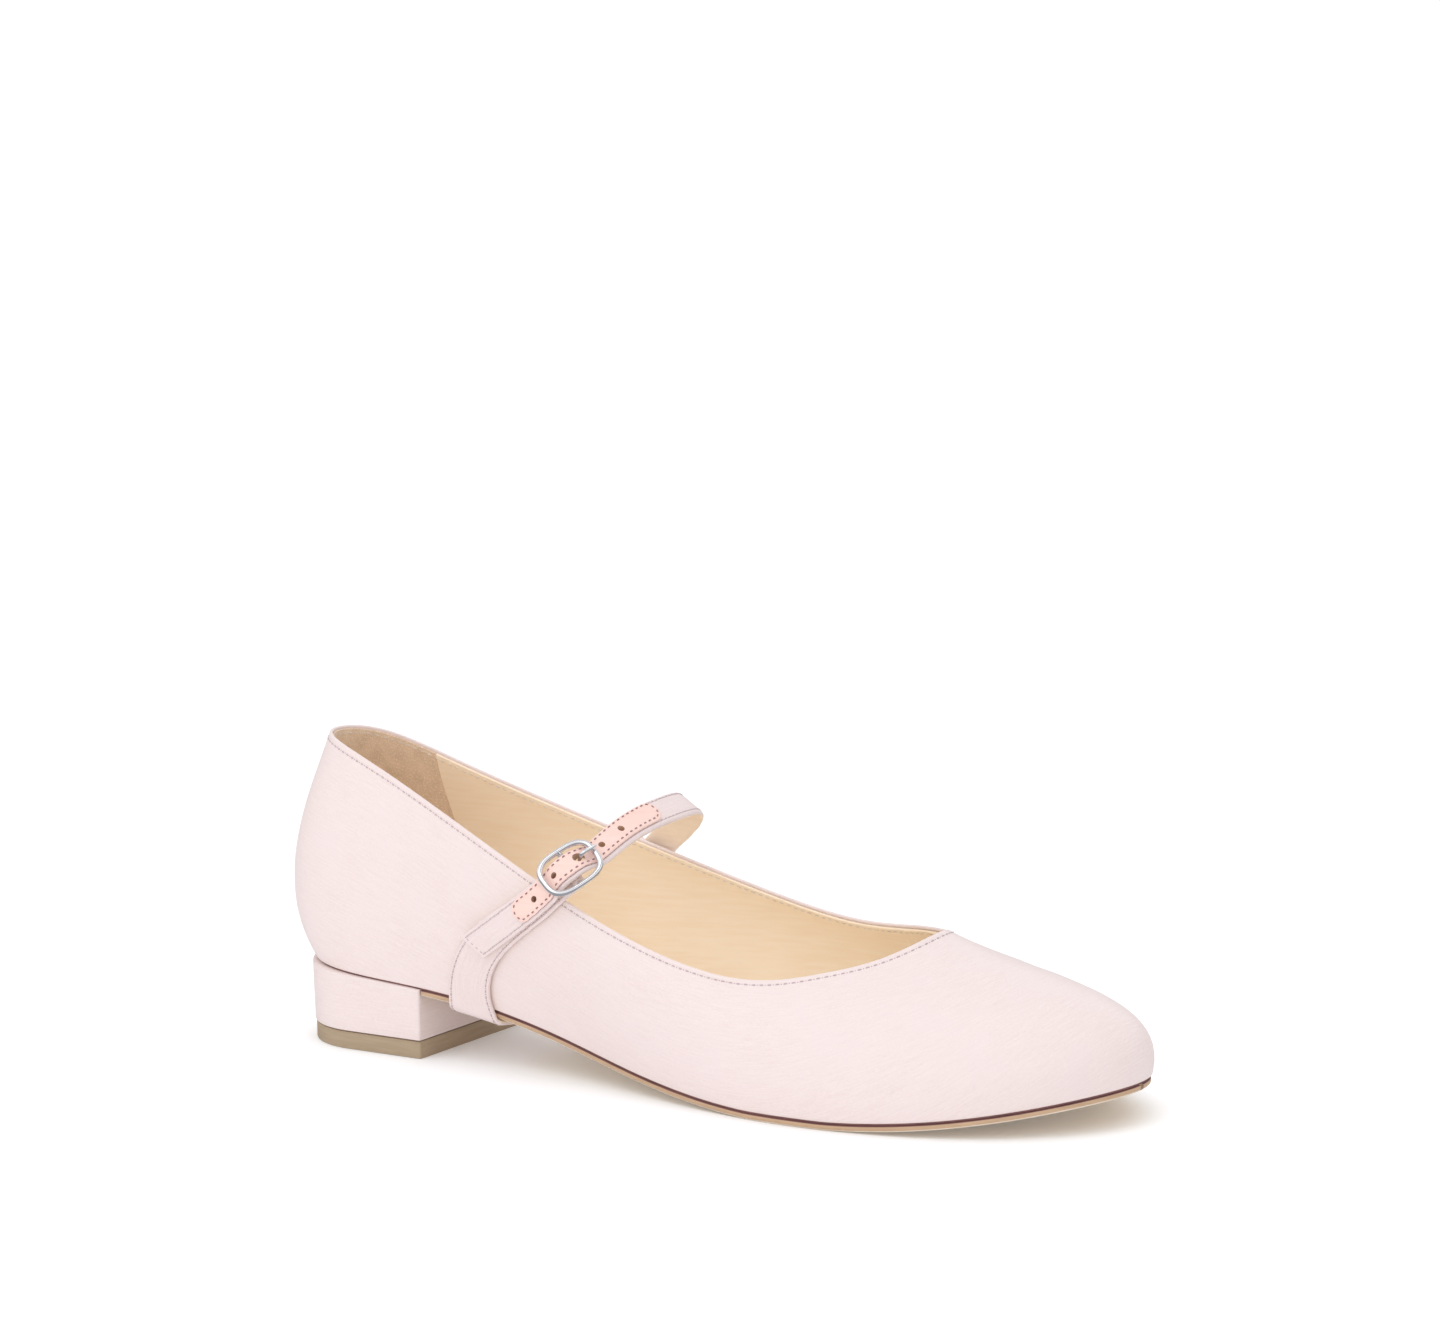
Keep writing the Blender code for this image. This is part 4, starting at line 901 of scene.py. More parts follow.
sock_levels = ([(*paired_edges(SOCK_EDGE, STATIONS), raised(0.0))]
               + rounded_levels(SOCK_EDGE, 0.7 * MM, lambda rise: raised(INSOLE + rise), STATIONS))
sock = slab("sock", sock_levels, [sock_leather], across=15, top_relief=sock_relief)
dress(sock, "insole", "insole")


# %% Heel outline
BACK_STEPS, CORNER_STEPS = 44, 5


def turned(points):
    """The heel's own turn about its middle, seen from above."""
    middle = np.array([ORIGIN_X, 0.0])
    c, s = math.cos(-HEEL_TURN), math.sin(-HEEL_TURN)
    return (points - middle) @ np.array([[c, s], [-s, c]]) + middle


def heel_edges(inset):
    """Lateral and medial points of the heel's U with round breast corners, back to breast."""
    half = HEEL_WIDTH / 2 - inset
    reach = ORIGIN_X - FEATHER[:, 0].min() + HEEL_OVERHANG - inset
    front = HEEL_LENGTH - inset * 0.5
    angle = np.linspace(0.0, math.pi / 2, BACK_STEPS + 1)[1:]
    bend = np.linspace(0.0, math.pi / 2, CORNER_STEPS + 1)
    side = np.linspace(ORIGIN_X, front - HEEL_CORNER, 12)[1:-1]
    x = np.concatenate([ORIGIN_X - reach * np.cos(angle), side,
                        front - HEEL_CORNER + HEEL_CORNER * np.sin(bend)])
    y = np.concatenate([half * np.sin(angle), np.full(len(side), half),
                        half - HEEL_CORNER + HEEL_CORNER * np.cos(bend)])
    return turned(np.column_stack([x, -y])), turned(np.column_stack([x, y]))


def flat(height):
    """A level height."""
    return lambda x: np.full(np.shape(x), float(height))


# %% Sole with its edge, and the feather line
breast = [edge[-1, 0] + GAP + math.tan(HEEL_TURN) * HEEL_CORNER for edge in heel_edges(0.0)]
SOLE_STATIONS = np.concatenate([[0.0, 0.004], np.linspace(0.0, 1.0, 130)[1:-1]])


def sole_level(inset, height):
    return (*paired_edges(SOLE_MARGIN + inset * MM, SOLE_STATIONS, breast), height)


sole = slab("leather_sole", [
    sole_level(1.00, tread(0.0)), sole_level(0.72, tread(0.04 * MM)),
    sole_level(0.40, tread(0.18 * MM)), sole_level(0.10, tread(0.44 * MM)),
    sole_level(0.05, tread(0.52 * MM)), sole_level(-0.05, tread(0.80 * MM)),
    sole_level(-0.06, tread(1.10 * MM)), sole_level(0.00, raised(-GAP - 0.36 * MM)),
    sole_level(0.20, raised(-GAP - 0.14 * MM)), sole_level(0.55, raised(-GAP))],
    [edge_leather, under_leather, bevel_leather, seam_brown],
    pick=lambda level: {-1: 1, 0: 1, 1: 2, 2: 2, 7: 3, 8: 3}.get(level, 0))
dress(sole, "sole", "outsole")

feather_stations = np.linspace(0.0, 1.0, 200)[1:-1]
line_levels = [(*paired_edges(1.2 * MM, feather_stations), raised(-GAP + 0.02 * MM)),
               (*paired_edges(0.50 * MM, feather_stations), raised(-GAP + 0.05 * MM)),
               (*paired_edges(0.50 * MM, feather_stations), raised(0.25 * MM)),
               (*paired_edges(1.2 * MM, feather_stations), raised(0.30 * MM))]
feather = slab("feather_line", line_levels, [seam_brown], across=3)
dress(feather, "sole")

# %% [markdown]
# ## The heel
# The block is wood or plastic with the same satin drawn over it, so its breast corners are
# slightly round and the cloth is pulled tight. The lift below it is rubber and wears first.

# %% Heel block and lift
def heel_level(inset, height):
    return (*heel_edges(inset * MM), height)


block = slab("heel_cover", [
    heel_level(0.75, flat(LIFT + GAP)), heel_level(0.42, flat(LIFT + GAP + 0.08 * MM)),
    heel_level(0.31, flat(LIFT + GAP + 0.32 * MM)), heel_level(0.26, flat(LIFT + GAP + 3 * MM)),
    heel_level(0.16, flat(LIFT + GAP + 7 * MM)), heel_level(0.05, raised(-GAP - 2.0 * MM)),
    heel_level(0.02, raised(-GAP - 0.55 * MM)), heel_level(0.14, raised(-GAP - 0.18 * MM)),
    heel_level(0.50, raised(-GAP))], [satin], across=7, cloth=True)
dress(block, "satin", "heel_block")
lift = slab("heel_lift_rubber", [
    heel_level(0.95, flat(0.0)), heel_level(0.68, flat(0.10 * MM)),
    heel_level(0.60, flat(0.35 * MM)), heel_level(0.60, flat(LIFT - 0.30 * MM)),
    heel_level(0.68, flat(LIFT - 0.08 * MM)),
    heel_level(0.90, flat(LIFT))], [taupe_rubber], across=7)
dress(lift, "lift", "heel_lift")

# %% [markdown]
# ## The girth
# The straps lie on the shoe, so they are drawn on its girth. At each place along the shoe the
# girth is a closed section over the sole, the walls and, above the collars, the instep that a
# foot would fill. A strap is then a line of places along and around, and it bends with the shoe
# without being placed by hand.

# %% Girth sections
GIRTH_FROM, GIRTH_TO, GIRTH_SECTIONS, GIRTH_SAMPLES = 0.20, 0.54, 43, 900
EDGE_SHARE, COLLAR_SHARE = 0.115, 0.300
SLING_WIDTH, SLING, STRAP_WIDTH, STRAP = 12.5 * MM, 1.3 * MM, 8.0 * MM, 1.3 * MM
FIRST_LAYER = GAP + SLING / 2


def girth_section(x, walls, edges):
    """The closed section (y, z) of sole, upper and instep at x, from the middle of the sole."""
    sides = []
    for side in (0, 1):
        wall = [(np.interp(x, line[:, 0], line[:, 1]), np.interp(x, line[:, 0], line[:, 2]))
                for line in walls[side]]
        edge_y = np.interp(x, edges[side][:, 0], edges[side][:, 1])
        low = float(tread(0.0)(x))
        sides.append(np.array([((edge_y * 0.05), low), (edge_y * 0.97, low),
                               (edge_y, low + SOLE_CHAMFER)] + wall))
    lateral, medial = sides
    handles = []
    back = np.clip(INSTEP_AT - x / LENGTH, -INSTEP_SPAN, INSTEP_SPAN) * LENGTH
    for side, reach, twist in zip(sides, (INSTEP_LATERAL, INSTEP_MEDIAL), INSTEP_TWIST):
        lean = side[-1] - side[-3]
        handles.append(side[-1] + lean / np.linalg.norm(lean) * (reach + twist * back))
    t = np.linspace(0.0, 1.0, 25)[1:-1, None]
    arch = (lateral[-1] * (1 - t) ** 3 + 3 * handles[0] * t * (1 - t) ** 2
            + 3 * handles[1] * t ** 2 * (1 - t) + medial[-1] * t ** 3)
    points = np.vstack([lateral, arch, medial[::-1]])
    edge, collar = 2, len(lateral) - 1
    return points, (edge, collar, len(points) - 1 - collar, len(points) - 1 - edge)


def offset_closed(points, landmarks, height):
    """A closed section moved outwards with round corners: points and normals by share."""
    ahead = np.roll(points, -1, 0) - points
    angle = np.unwrap(np.arctan2(ahead[:, 1], ahead[:, 0]) + math.pi / 2)
    moved, normals, marks = [], [], []
    for i in range(len(points)):
        if i in landmarks:
            marks.append(len(moved) + 2)
        before = angle[i - 1] - (2 * math.pi if i == 0 and angle[-1] > angle[0] else 0.0)
        before += 2 * math.pi if i == 0 and angle[-1] < angle[0] - math.pi else 0.0
        for a in np.linspace(before, angle[i], 5):
            normals.append([math.cos(a), math.sin(a)])
            moved.append(points[i] + np.array(normals[-1]) * height)
    moved, normals = np.array(moved), np.array(normals)
    moved, normals = np.vstack([moved, moved[:1]]), np.vstack([normals, normals[:1]])
    length = np.concatenate([[0.0], np.cumsum(np.linalg.norm(np.diff(moved, axis=0), axis=1))])
    marked = (0.0, EDGE_SHARE, COLLAR_SHARE, 1 - COLLAR_SHARE, 1 - EDGE_SHARE, 1.0)
    q = np.interp(np.linspace(0.0, 1.0, GIRTH_SAMPLES + 1), marked,
                  [0.0, *length[marks], length[-1]])
    return [np.column_stack([np.interp(q, length, values[:, k]) for k in (0, 1)])
            for values in (moved, normals)]


WALL_ROWS = 13
fine_walls = wall_points(ROUND, np.linspace(0, 1, WALL_ROWS)[None].repeat(TABLE_U, 0))
walls = ([], [])
for k in range(WALL_ROWS):
    line = np.roll(fine_walls[:, k], -int(np.argmin(fine_walls[:, k, 0])), 0)
    front = int(np.argmax(line[:, 0]))
    walls[0].append(line[:front + 1])
    walls[1].append(line[front:][::-1])
GIRTH_X = np.linspace(GIRTH_FROM, GIRTH_TO, GIRTH_SECTIONS) * LENGTH
sole_lines = feather_inset(SOLE_MARGIN)
sections = [offset_closed(*girth_section(x, walls, sole_lines), FIRST_LAYER) for x in GIRTH_X]
GIRTH_POINTS = np.array([section[0] for section in sections])
GIRTH_NORMALS = np.array([section[1] for section in sections])


def girth_points(x, around, height):
    """Points at height over the shoe's surface; around is a share of the girth."""
    x, around, height = np.broadcast_arrays(*(np.asarray(a, float) for a in (x, around, height)))
    f = np.clip((x - GIRTH_X[0]) / (GIRTH_X[-1] - GIRTH_X[0]), 0.0, 1.0) * (GIRTH_SECTIONS - 1)
    i = np.minimum(f.astype(int), GIRTH_SECTIONS - 2)
    g = (around % 1.0) * GIRTH_SAMPLES
    k = np.minimum(g.astype(int), GIRTH_SAMPLES - 1)
    f, g = (f - i)[..., None], (g - k)[..., None]
    point, normal = (
        (values[i, k] * (1 - g) + values[i, k + 1] * g) * (1 - f)
        + (values[i + 1, k] * (1 - g) + values[i + 1, k + 1] * g) * f
        for values in (GIRTH_POINTS, GIRTH_NORMALS))
    normal = normal / np.linalg.norm(normal, axis=-1, keepdims=True)
    point = point + normal * (height[..., None] - FIRST_LAYER)
    return np.concatenate([x[..., None], point], axis=-1)


print("girth sections:", GIRTH_SECTIONS)

# %% Strap lines
# share of the girth, share of the shoe's length, share of the strap's width
SLING_LINE = np.array(((-0.290, 0.345, 0.84), (-0.205, 0.287, 0.90), (-0.130, 0.258, 1.04),
                       (-0.090, 0.264, 1.22), (0.000, 0.270, 1.30), (0.090, 0.264, 1.22),
                       (0.130, 0.258, 1.04), (0.205, 0.2925, 0.86), (0.290, 0.369, 0.66),
                       (0.335, 0.3935, 0.61)))
OVER_LINE = np.array(((0.192, 0.2745, 1.0), (0.255, 0.337, 1.0), (0.335, 0.393, 1.0),
                      (0.430, 0.418, 1.0), (0.530, 0.429, 1.0), (0.630, 0.404, 1.0),
                      (0.710, 0.350, 1.0), (0.770, 0.306, 1.0)))


class StrapLine:
    """A strap's middle line on the girth, with its length and its own directions."""

    def __init__(self, line, width):
        self.around = np.linspace(line[0, 0], line[-1, 0], 400)
        self.x = natural_spline(line[:, 0], line[:, 1], self.around) * LENGTH
        self.half = natural_spline(line[:, 0], line[:, 2], self.around) * width / 2
        middle = girth_points(self.x, self.around, FIRST_LAYER)
        steps = np.linalg.norm(np.diff(middle, axis=0), axis=1)
        self.length = np.concatenate([[0.0], np.cumsum(steps)])
        self.end = self.length[-1]
        dx, dq = 0.5 * MM, 0.001
        by_x = (girth_points(self.x + dx, self.around, FIRST_LAYER)
                - girth_points(self.x - dx, self.around, FIRST_LAYER)) / (2 * dx)
        by_q = (girth_points(self.x, self.around + dq, FIRST_LAYER)
                - girth_points(self.x, self.around - dq, FIRST_LAYER)) / (2 * dq)
        slope = np.gradient(self.x, self.around)
        self.ahead = by_x * slope[:, None] + by_q
        self.ahead /= np.linalg.norm(self.ahead, axis=1)[:, None]
        height = np.abs((self.around + 0.5) % 1.0 - 0.5)
        square = np.clip((height - EDGE_SHARE * 1.2) / (COLLAR_SHARE - EDGE_SHARE * 1.2), 0.0, 1.0)
        turn = -np.sum(by_x * self.ahead, 1) / np.sum(by_q * self.ahead, 1) * square
        step = by_x + turn[:, None] * by_q
        size = np.linalg.norm(step - np.sum(step * self.ahead, 1)[:, None] * self.ahead, axis=1)
        self.step_x, self.step_q = 1.0 / size, turn / size

    def read(self, values, length):
        return np.interp(length, self.length, values)

    def points(self, length, sideways, height):
        """Points at a length along the strap, moved sideways, at a height over the shoe."""
        x = self.read(self.x, length) + self.read(self.step_x, length) * sideways
        q = self.read(self.around, length) + self.read(self.step_q, length) * sideways
        return girth_points(x, q, height)


sling_line = StrapLine(SLING_LINE, SLING_WIDTH)
over_line = StrapLine(OVER_LINE, STRAP_WIDTH)
BAR_AT = float(np.interp(0.335, over_line.around, over_line.length))
print("sling", round(sling_line.end / MM, 1), "mm,",
      "instep strap", round(over_line.end / MM, 1), "mm")

# %% Buckle's place
BAR_WIRE, EYE_PLAY, EYE_WALL, PRONG_WIRE = 1.5 * MM, 0.2 * MM, 0.65 * MM, 1.0 * MM
EYE_RADIUS = BAR_WIRE / 2 + EYE_PLAY + EYE_WALL
LOOP_RADIUS = BAR_WIRE / 2 + EYE_PLAY + PRONG_WIRE / 2
BAR_HEIGHT = GAP + LOOP_RADIUS + PRONG_WIRE / 2
OVER_HEIGHT = GAP + SLING + GAP
EYE_CLEARANCE, HUMP_REACH, HUMP_FULLNESS = 0.55 * MM, 8.1 * MM, 1.4
PRONG_SIDE = -0.7 * MM      # prong beside the bar's middle, in line with its hole
HUMP = BAR_HEIGHT + EYE_RADIUS + EYE_CLEARANCE - OVER_HEIGHT


def over_height(length):
    """Lower side of the instep strap: it rides up over the eye round the buckle's bar."""
    reach = np.minimum(np.abs(length - BAR_AT) / HUMP_REACH, 1.0)
    return OVER_HEIGHT + HUMP * np.cos(reach ** HUMP_FULLNESS * math.pi / 2) ** 2


bar_middle = over_line.points(BAR_AT, 0.0, BAR_HEIGHT)
bar_along = np.array([np.interp(BAR_AT, over_line.length, over_line.ahead[:, k]) for k in range(3)])
bar_along /= np.linalg.norm(bar_along)
bar_across = over_line.points(BAR_AT, MM, BAR_HEIGHT) - over_line.points(BAR_AT, -MM, BAR_HEIGHT)
bar_across /= np.linalg.norm(bar_across)
bar_out = np.cross(bar_across, bar_along)
bar_out /= np.linalg.norm(bar_out)
shoe_middle = np.array([bar_middle[0], 0.0, BACK_HEIGHT / 2])
bar_out *= math.copysign(1.0, bar_out @ (bar_middle - shoe_middle))


def at_buckle(along, across, out):
    """Points in the buckle's directions, from the middle of its bar."""
    along, across, out = (np.asarray(a, float)[..., None] for a in (along, across, out))
    return bar_middle + bar_along * along + bar_across * across + bar_out * out


print("buckle bar at", (to_model(bar_middle) / MM).round(1))

# %% [markdown]
# ## Straps
# A shoe strap is satin folded round a tape, with a leather lining glued under it and a row of
# stitches near each edge. The stitches sink, and the cloth swells a little between them. The
# section is a rounded band with that relief, carried along the strap's line.

# %% Band section and mesh
STITCH_INSET, END_ROUND = 0.95 * MM, 0.35 * MM


def band_section(half, thickness, groove):
    """Sideways places and heights of a rounded band with a groove along each edge."""
    r = min(thickness / 2, half * 0.6)
    arc = np.linspace(-math.pi / 2, math.pi / 2, 8)
    side, rise = (half - r) + r * np.cos(arc), thickness / 2 * (1 + np.sin(arc))
    inner = half - STITCH_INSET
    if groove:
        marks = inner + np.array([0.25, 0.12, 0.0, -0.2, -0.5]) * MM
        right = np.concatenate([marks, np.linspace(marks[-1], 0, 5)[1:]])
    else:
        right = np.linspace(half - r, 0, 10)[1:]
    top = np.concatenate([right, -right[-2::-1]])
    dip = groove * np.exp(-((np.abs(top) - inner) / (0.22 * MM)) ** 2)
    swell = 0.07 * MM * (1 - (top / half) ** 2)
    under = np.linspace(-(half - r), half - r, 9)[1:-1]
    sideways = np.concatenate([side, top, -side[::-1], under])
    heights = np.concatenate([rise, thickness - dip + swell, rise[::-1], np.zeros(len(under))])
    return sideways, heights, (len(side), len(top), len(side), len(under))


def band(name, line, lengths, halves, lows, thickness, materials, groove=0.13 * MM,
         squash=END_ROUND):
    """A strap piece: its sections along a strap line, with slightly rounded ends."""
    lengths, halves, lows = (np.asarray(a, float) for a in (lengths, halves, lows))
    rings, cloth = [], []
    for length, half, low in zip(lengths, halves, lows):
        ends = min(length - lengths[0], lengths[-1] - length)
        part = math.sqrt(max(0.0, 1 - (1 - min(ends / squash, 1.0)) ** 2)) if squash else 1.0
        sideways, heights, parts = band_section(half, thickness, groove)
        sideways = sideways * (half - squash * 0.4 * (1 - part)) / half
        heights = thickness / 2 + (heights - thickness / 2) * (0.45 + 0.55 * part)
        rings.append(line.points(length, sideways, low + heights))
        cloth.append(np.column_stack([np.full(len(sideways), length), sideways]))
    points, faces = capped_loft(rings)
    ring = len(rings[0])
    side, top = parts[0], parts[1]
    lined = {*range(3), *range(2 * side + top - 4, ring)}
    slots = [1 if (i % ring) in lined and len(materials) > 1 else 0 for i in range(len(faces) - 2)]
    return make_piece(name, points, faces, materials, slots + [0, 0],
                      cloth=np.concatenate(cloth) / MM, sharp=50)


def band_lengths(start, end, step):
    """Places of a band's sections, closer together at its two ends."""
    count = int(math.ceil((end - start) / step))
    inner = np.linspace(start + END_ROUND, end - END_ROUND, count + 1)
    ends = END_ROUND * np.array([0.0, 0.12, 0.35, 0.65])
    return np.concatenate([start + ends, inner, (end - ends)[::-1]])


# %% Cutting helper
def pin(name, centre, axis, radius, depth, material, sides=32):
    """A round pin along an axis, as a cutter or a helper."""
    axis = np.asarray(axis, float) / np.linalg.norm(axis)
    first = np.cross(axis, [0.0, 0.0, 1.0] if abs(axis[2]) < 0.9 else [1.0, 0.0, 0.0])
    first /= np.linalg.norm(first)
    second = np.cross(axis, first)
    angle = np.arange(sides) * 2 * math.pi / sides
    ring = np.cos(angle)[:, None] * first + np.sin(angle)[:, None] * second
    rings = [centre + axis * depth * t + ring * radius for t in (-0.5, 0.5)]
    points, faces = capped_loft(rings)
    cloth = [((k % sides) * 2 * math.pi * radius / sides / MM, (k // sides) * depth / MM)
             for k in range(len(points))]
    return make_piece(name, points, faces, [material], cloth=cloth, sharp=50)


def carve(piece, helper, operation):
    """Cuts or joins piece with a helper and removes the helper."""
    modifier = piece.modifiers.new("carve", "BOOLEAN")
    modifier.operation, modifier.solver, modifier.object = operation, "EXACT", helper
    modifier.material_mode = "TRANSFER"
    bpy.context.view_layer.update()
    evaluated = piece.evaluated_get(bpy.context.evaluated_depsgraph_get())
    mesh = bpy.data.meshes.new_from_object(evaluated)
    piece.modifiers.clear()
    old, piece.data = piece.data, mesh
    bpy.data.meshes.remove(old)
    bpy.data.objects.remove(helper, do_unlink=True)
    mesh.shade_smooth()
    mesh.set_sharp_from_angle(angle=math.radians(50))


# %% Sling and instep strap
sling_places = band_lengths(0.0, sling_line.end, 0.8 * MM)
sling = band("sling_strap", sling_line, sling_places,
             sling_line.read(sling_line.half, sling_places),
             np.full(len(sling_places), GAP), SLING, [strap_satin, strap_leather])
CHAPE_WIDTH = 7.6 * MM
slot_radius, slot_width = LOOP_RADIUS + PRONG_WIRE / 2 + GAP, PRONG_WIRE + 2 * GAP
for name, place, radius, depth, operation in (
        ("eye", bar_middle, EYE_RADIUS, CHAPE_WIDTH * 0.98, "UNION"),
        ("bore", bar_middle, EYE_RADIUS - EYE_WALL, CHAPE_WIDTH * 2, "DIFFERENCE"),
        ("slot", at_buckle(0.0, PRONG_SIDE, 0.0), slot_radius, slot_width, "DIFFERENCE")):
    carve(sling, pin(name, place, bar_across, radius, depth, strap_satin), operation)
dress(sling, "satin", "strap_sling")

over_places = band_lengths(0.0, over_line.end, 0.7 * MM)
instep_strap = band("instep_strap", over_line, over_places,
                    np.full(len(over_places), STRAP_WIDTH / 2),
                    over_height(over_places), STRAP, [strap_satin, strap_leather])

# %% Patch
PATCH_WIDTH, PATCH, PATCH_SEAT = 6.4 * MM, 0.6 * MM, 0.15 * MM
PATCH_FROM, PATCH_TO = 18.3 * MM, 67.6 * MM
PATCH_ROUND = PATCH_WIDTH / 2


def patch_half(length):
    """Half width of the round-ended patch."""
    left = np.clip(np.minimum(length - PATCH_FROM, PATCH_TO - length), 0.0, PATCH_ROUND)
    return np.sqrt(np.maximum(PATCH_ROUND ** 2 - (PATCH_ROUND - left) ** 2, 0.0))


bend = PATCH_ROUND * (1 - np.cos(np.linspace(0.10, math.pi / 2, 12)))
straight = np.arange(PATCH_FROM + PATCH_ROUND + 0.6 * MM, PATCH_TO - PATCH_ROUND - 0.3 * MM,
                     0.6 * MM)
patch_places = np.concatenate([PATCH_FROM + bend, straight, (PATCH_TO - bend)[::-1]])
patch = band("hole_patch", over_line, patch_places, patch_half(patch_places),
             over_height(patch_places) + STRAP + PATCH_SEAT - 0.05 * MM, PATCH,
             [peach_leather], groove=0.0, squash=0.0)
HOLE, HOLE_PITCH, HOLE_COUNT = 1.7 * MM, 7.1 * MM, 5
PRONG_HOLE, PRONG_PULL, PRONG_REACH = 2.9 * MM, 0.15 * MM, 3.4 * MM
for k in range(-(HOLE_COUNT // 2), HOLE_COUNT // 2 + 1):
    place = BAR_AT + PRONG_REACH + k * HOLE_PITCH + (k == 0) * PRONG_PULL
    size = PRONG_HOLE if k == 0 else HOLE
    low, high = (over_line.points(place, 0.0, over_height(place) + h) for h in (0.0, STRAP + PATCH))
    for piece in (instep_strap, patch):
        carve(piece, pin("punch", (low + high) / 2, high - low, size / 2, 4 * STRAP, cut_edge, 28),
              "DIFFERENCE")
dress(instep_strap, "satin", "strap_over")
dress(patch, "patch", "strap_patch")

# %% [markdown]
# ## Stitches
# A lockstitch shows as short raised lengths of thread that dive into a needle hole at each end.
# Each one is a small arched capsule that follows the surface, and each hole is a tiny dark
# disc set in it, which paints the shade inside the hole. They could be drawn with bump alone,
# but real threads catch the light.


# %% Stitch helper
class StitchRow:
    """A line on a surface, with its normals, that stitches follow."""

    def __init__(self, points, normals):
        self.points, self.normals = np.asarray(points), np.asarray(normals)
        steps = np.linalg.norm(np.diff(self.points, axis=0), axis=1)
        self.length = np.concatenate([[0.0], np.cumsum(steps)])

    def read(self, values, s):
        return np.stack([np.interp(s, self.length, values[:, k]) for k in range(3)], -1)

    def frame(self, s):
        """Points, normals and sideways directions at lengths s."""
        points, normals = self.read(self.points, s), self.read(self.normals, s)
        normals /= np.linalg.norm(normals, axis=-1, keepdims=True)
        ahead = self.read(self.points, s + 0.05 * MM) - self.read(self.points, s - 0.05 * MM)
        side = np.cross(ahead, normals)
        side /= np.maximum(np.linalg.norm(side, axis=-1, keepdims=True), 1e-12)
        return points, normals, side


STITCH_T = np.array([-1.0, -0.88, -0.6, -0.2, 0.2, 0.6, 0.88, 1.0])
STITCH_SIDES = 6


def sew(name, rows, pitch, stitch, radius, material, slot, holes=True):
    """Stitches along rows, and dark discs of painted shade at their needle holes, as one piece
    each.
    """
    angle = np.arange(STITCH_SIDES) * 2 * math.pi / STITCH_SIDES
    points, faces, base = [], [], 0
    dots, dot_faces, dot_base = [], [], 0
    for row in rows:
        count = max(1, int(round(row.length[-1] / pitch)))
        centre = (np.arange(count) + 0.5) * row.length[-1] / count
        middle, normal, side = row.frame(centre[:, None] + STITCH_T[None] * stitch / 2)
        thick = radius * np.sqrt(np.maximum(1 - np.abs(STITCH_T) ** 3, 0.04))[None, :, None, None]
        rise = radius * (0.75 - 1.25 * STITCH_T ** 4)[None, :, None]
        ring = (middle + normal * rise)[:, :, None] + thick * (
            np.cos(angle)[None, None, :, None] * normal[:, :, None]
            + np.sin(angle)[None, None, :, None] * side[:, :, None])
        points.append(ring.reshape(-1, 3))
        one = grid_faces(len(STITCH_T), STITCH_SIDES).tolist()
        one += [list(range(STITCH_SIDES)),
                [(len(STITCH_T) - 1) * STITCH_SIDES + k for k in range(STITCH_SIDES)]]
        size = len(STITCH_T) * STITCH_SIDES
        faces += [[i + base + n * size for i in face] for n in range(count) for face in one]
        base += count * size
        # Each needle hole gets a dark disc: painted shade that stands in for the hole's depth.
        ends = (np.arange(count + 1)) * row.length[-1] / count
        spot, up, across = row.frame(np.clip(ends, 0.06 * MM, row.length[-1] - 0.06 * MM))
        along = np.cross(up, across)
        disc = (np.cos(angle)[None, :, None] * across[:, None]
                + np.sin(angle)[None, :, None] * along[:, None]) * radius * 1.25
        low, high = spot - up * 0.12 * MM, spot + up * 0.035 * MM
        solid = np.concatenate([low[:, None] + disc, high[:, None] + disc * 0.8], axis=1)
        dots.append(solid.reshape(-1, 3))
        n = STITCH_SIDES
        cell = [[k, (k + 1) % n, n + (k + 1) % n, n + k] for k in range(n)]
        cell += [list(range(n)), list(range(n, 2 * n))]
        dot_faces += [[i + dot_base + m * 2 * n for i in face]
                      for m in range(count + 1) for face in cell]
        dot_base += (count + 1) * 2 * n
    dress(make_piece(name + "_thread", np.concatenate(points), faces, [material]), slot)
    if holes:
        dress(make_piece(name + "_hole_shade_discs", np.concatenate(dots), dot_faces, [painted_hole_shade],
                         sharp=40), slot)
    return base // (len(STITCH_T) * STITCH_SIDES)


# %% Collar stitches
collar_u = np.linspace(0.0, 1.0, 1601)
groove = np.full(collar_u.shape, STITCH_BELOW)
outside, outside_normals = wall_at(collar_u, groove, cloth_relief(collar_u, groove))
inside_below = np.full(collar_u.shape, STITCH_BELOW + 0.1 * MM)
in_grip = (collar_u < GRIP_EDGE) | (collar_u > 1 - GRIP_EDGE)
inside_depth = np.where(in_grip, GRIP_IN, LINING_IN) - 0.06 * MM
inside, inside_normals = wall_at(collar_u, inside_below, inside_depth)
made = sew("collar_outside", [StitchRow(outside, outside_normals)], 2.1 * MM, 1.15 * MM, 0.16 * MM,
           mauve_thread, "satin")
sew("collar_inside", [StitchRow(inside, -inside_normals)], 2.1 * MM, 1.35 * MM, 0.16 * MM,
    pale_thread, "satin", holes=False)
print(made, "stitches round the collar")


# %% Strap stitches
def strap_row(line, start, end, side, top, inset):
    """A row along a strap at inset from its edge."""
    s = np.linspace(start, end, max(2, int((end - start) / (0.4 * MM))))
    half = line.read(line.half, s)
    sideways = side * (half - inset)
    points = line.points(s, sideways, top(s))
    return StitchRow(points, line.points(s, sideways, top(s) + MM) - points)


def cross_row(line, place, reach, top):
    """A row across a strap."""
    t = np.linspace(-reach, reach, 24)
    points = line.points(np.full(24, place), t, np.full(24, float(top(place))))
    above = line.points(np.full(24, place), t, np.full(24, float(top(place)) + MM))
    return StitchRow(points, above - points)


THREAD_SINK = 0.05 * MM


def sling_top(s):
    """Height of the stitches on the under-arch strap."""
    return GAP + SLING - THREAD_SINK + 0.0 * s


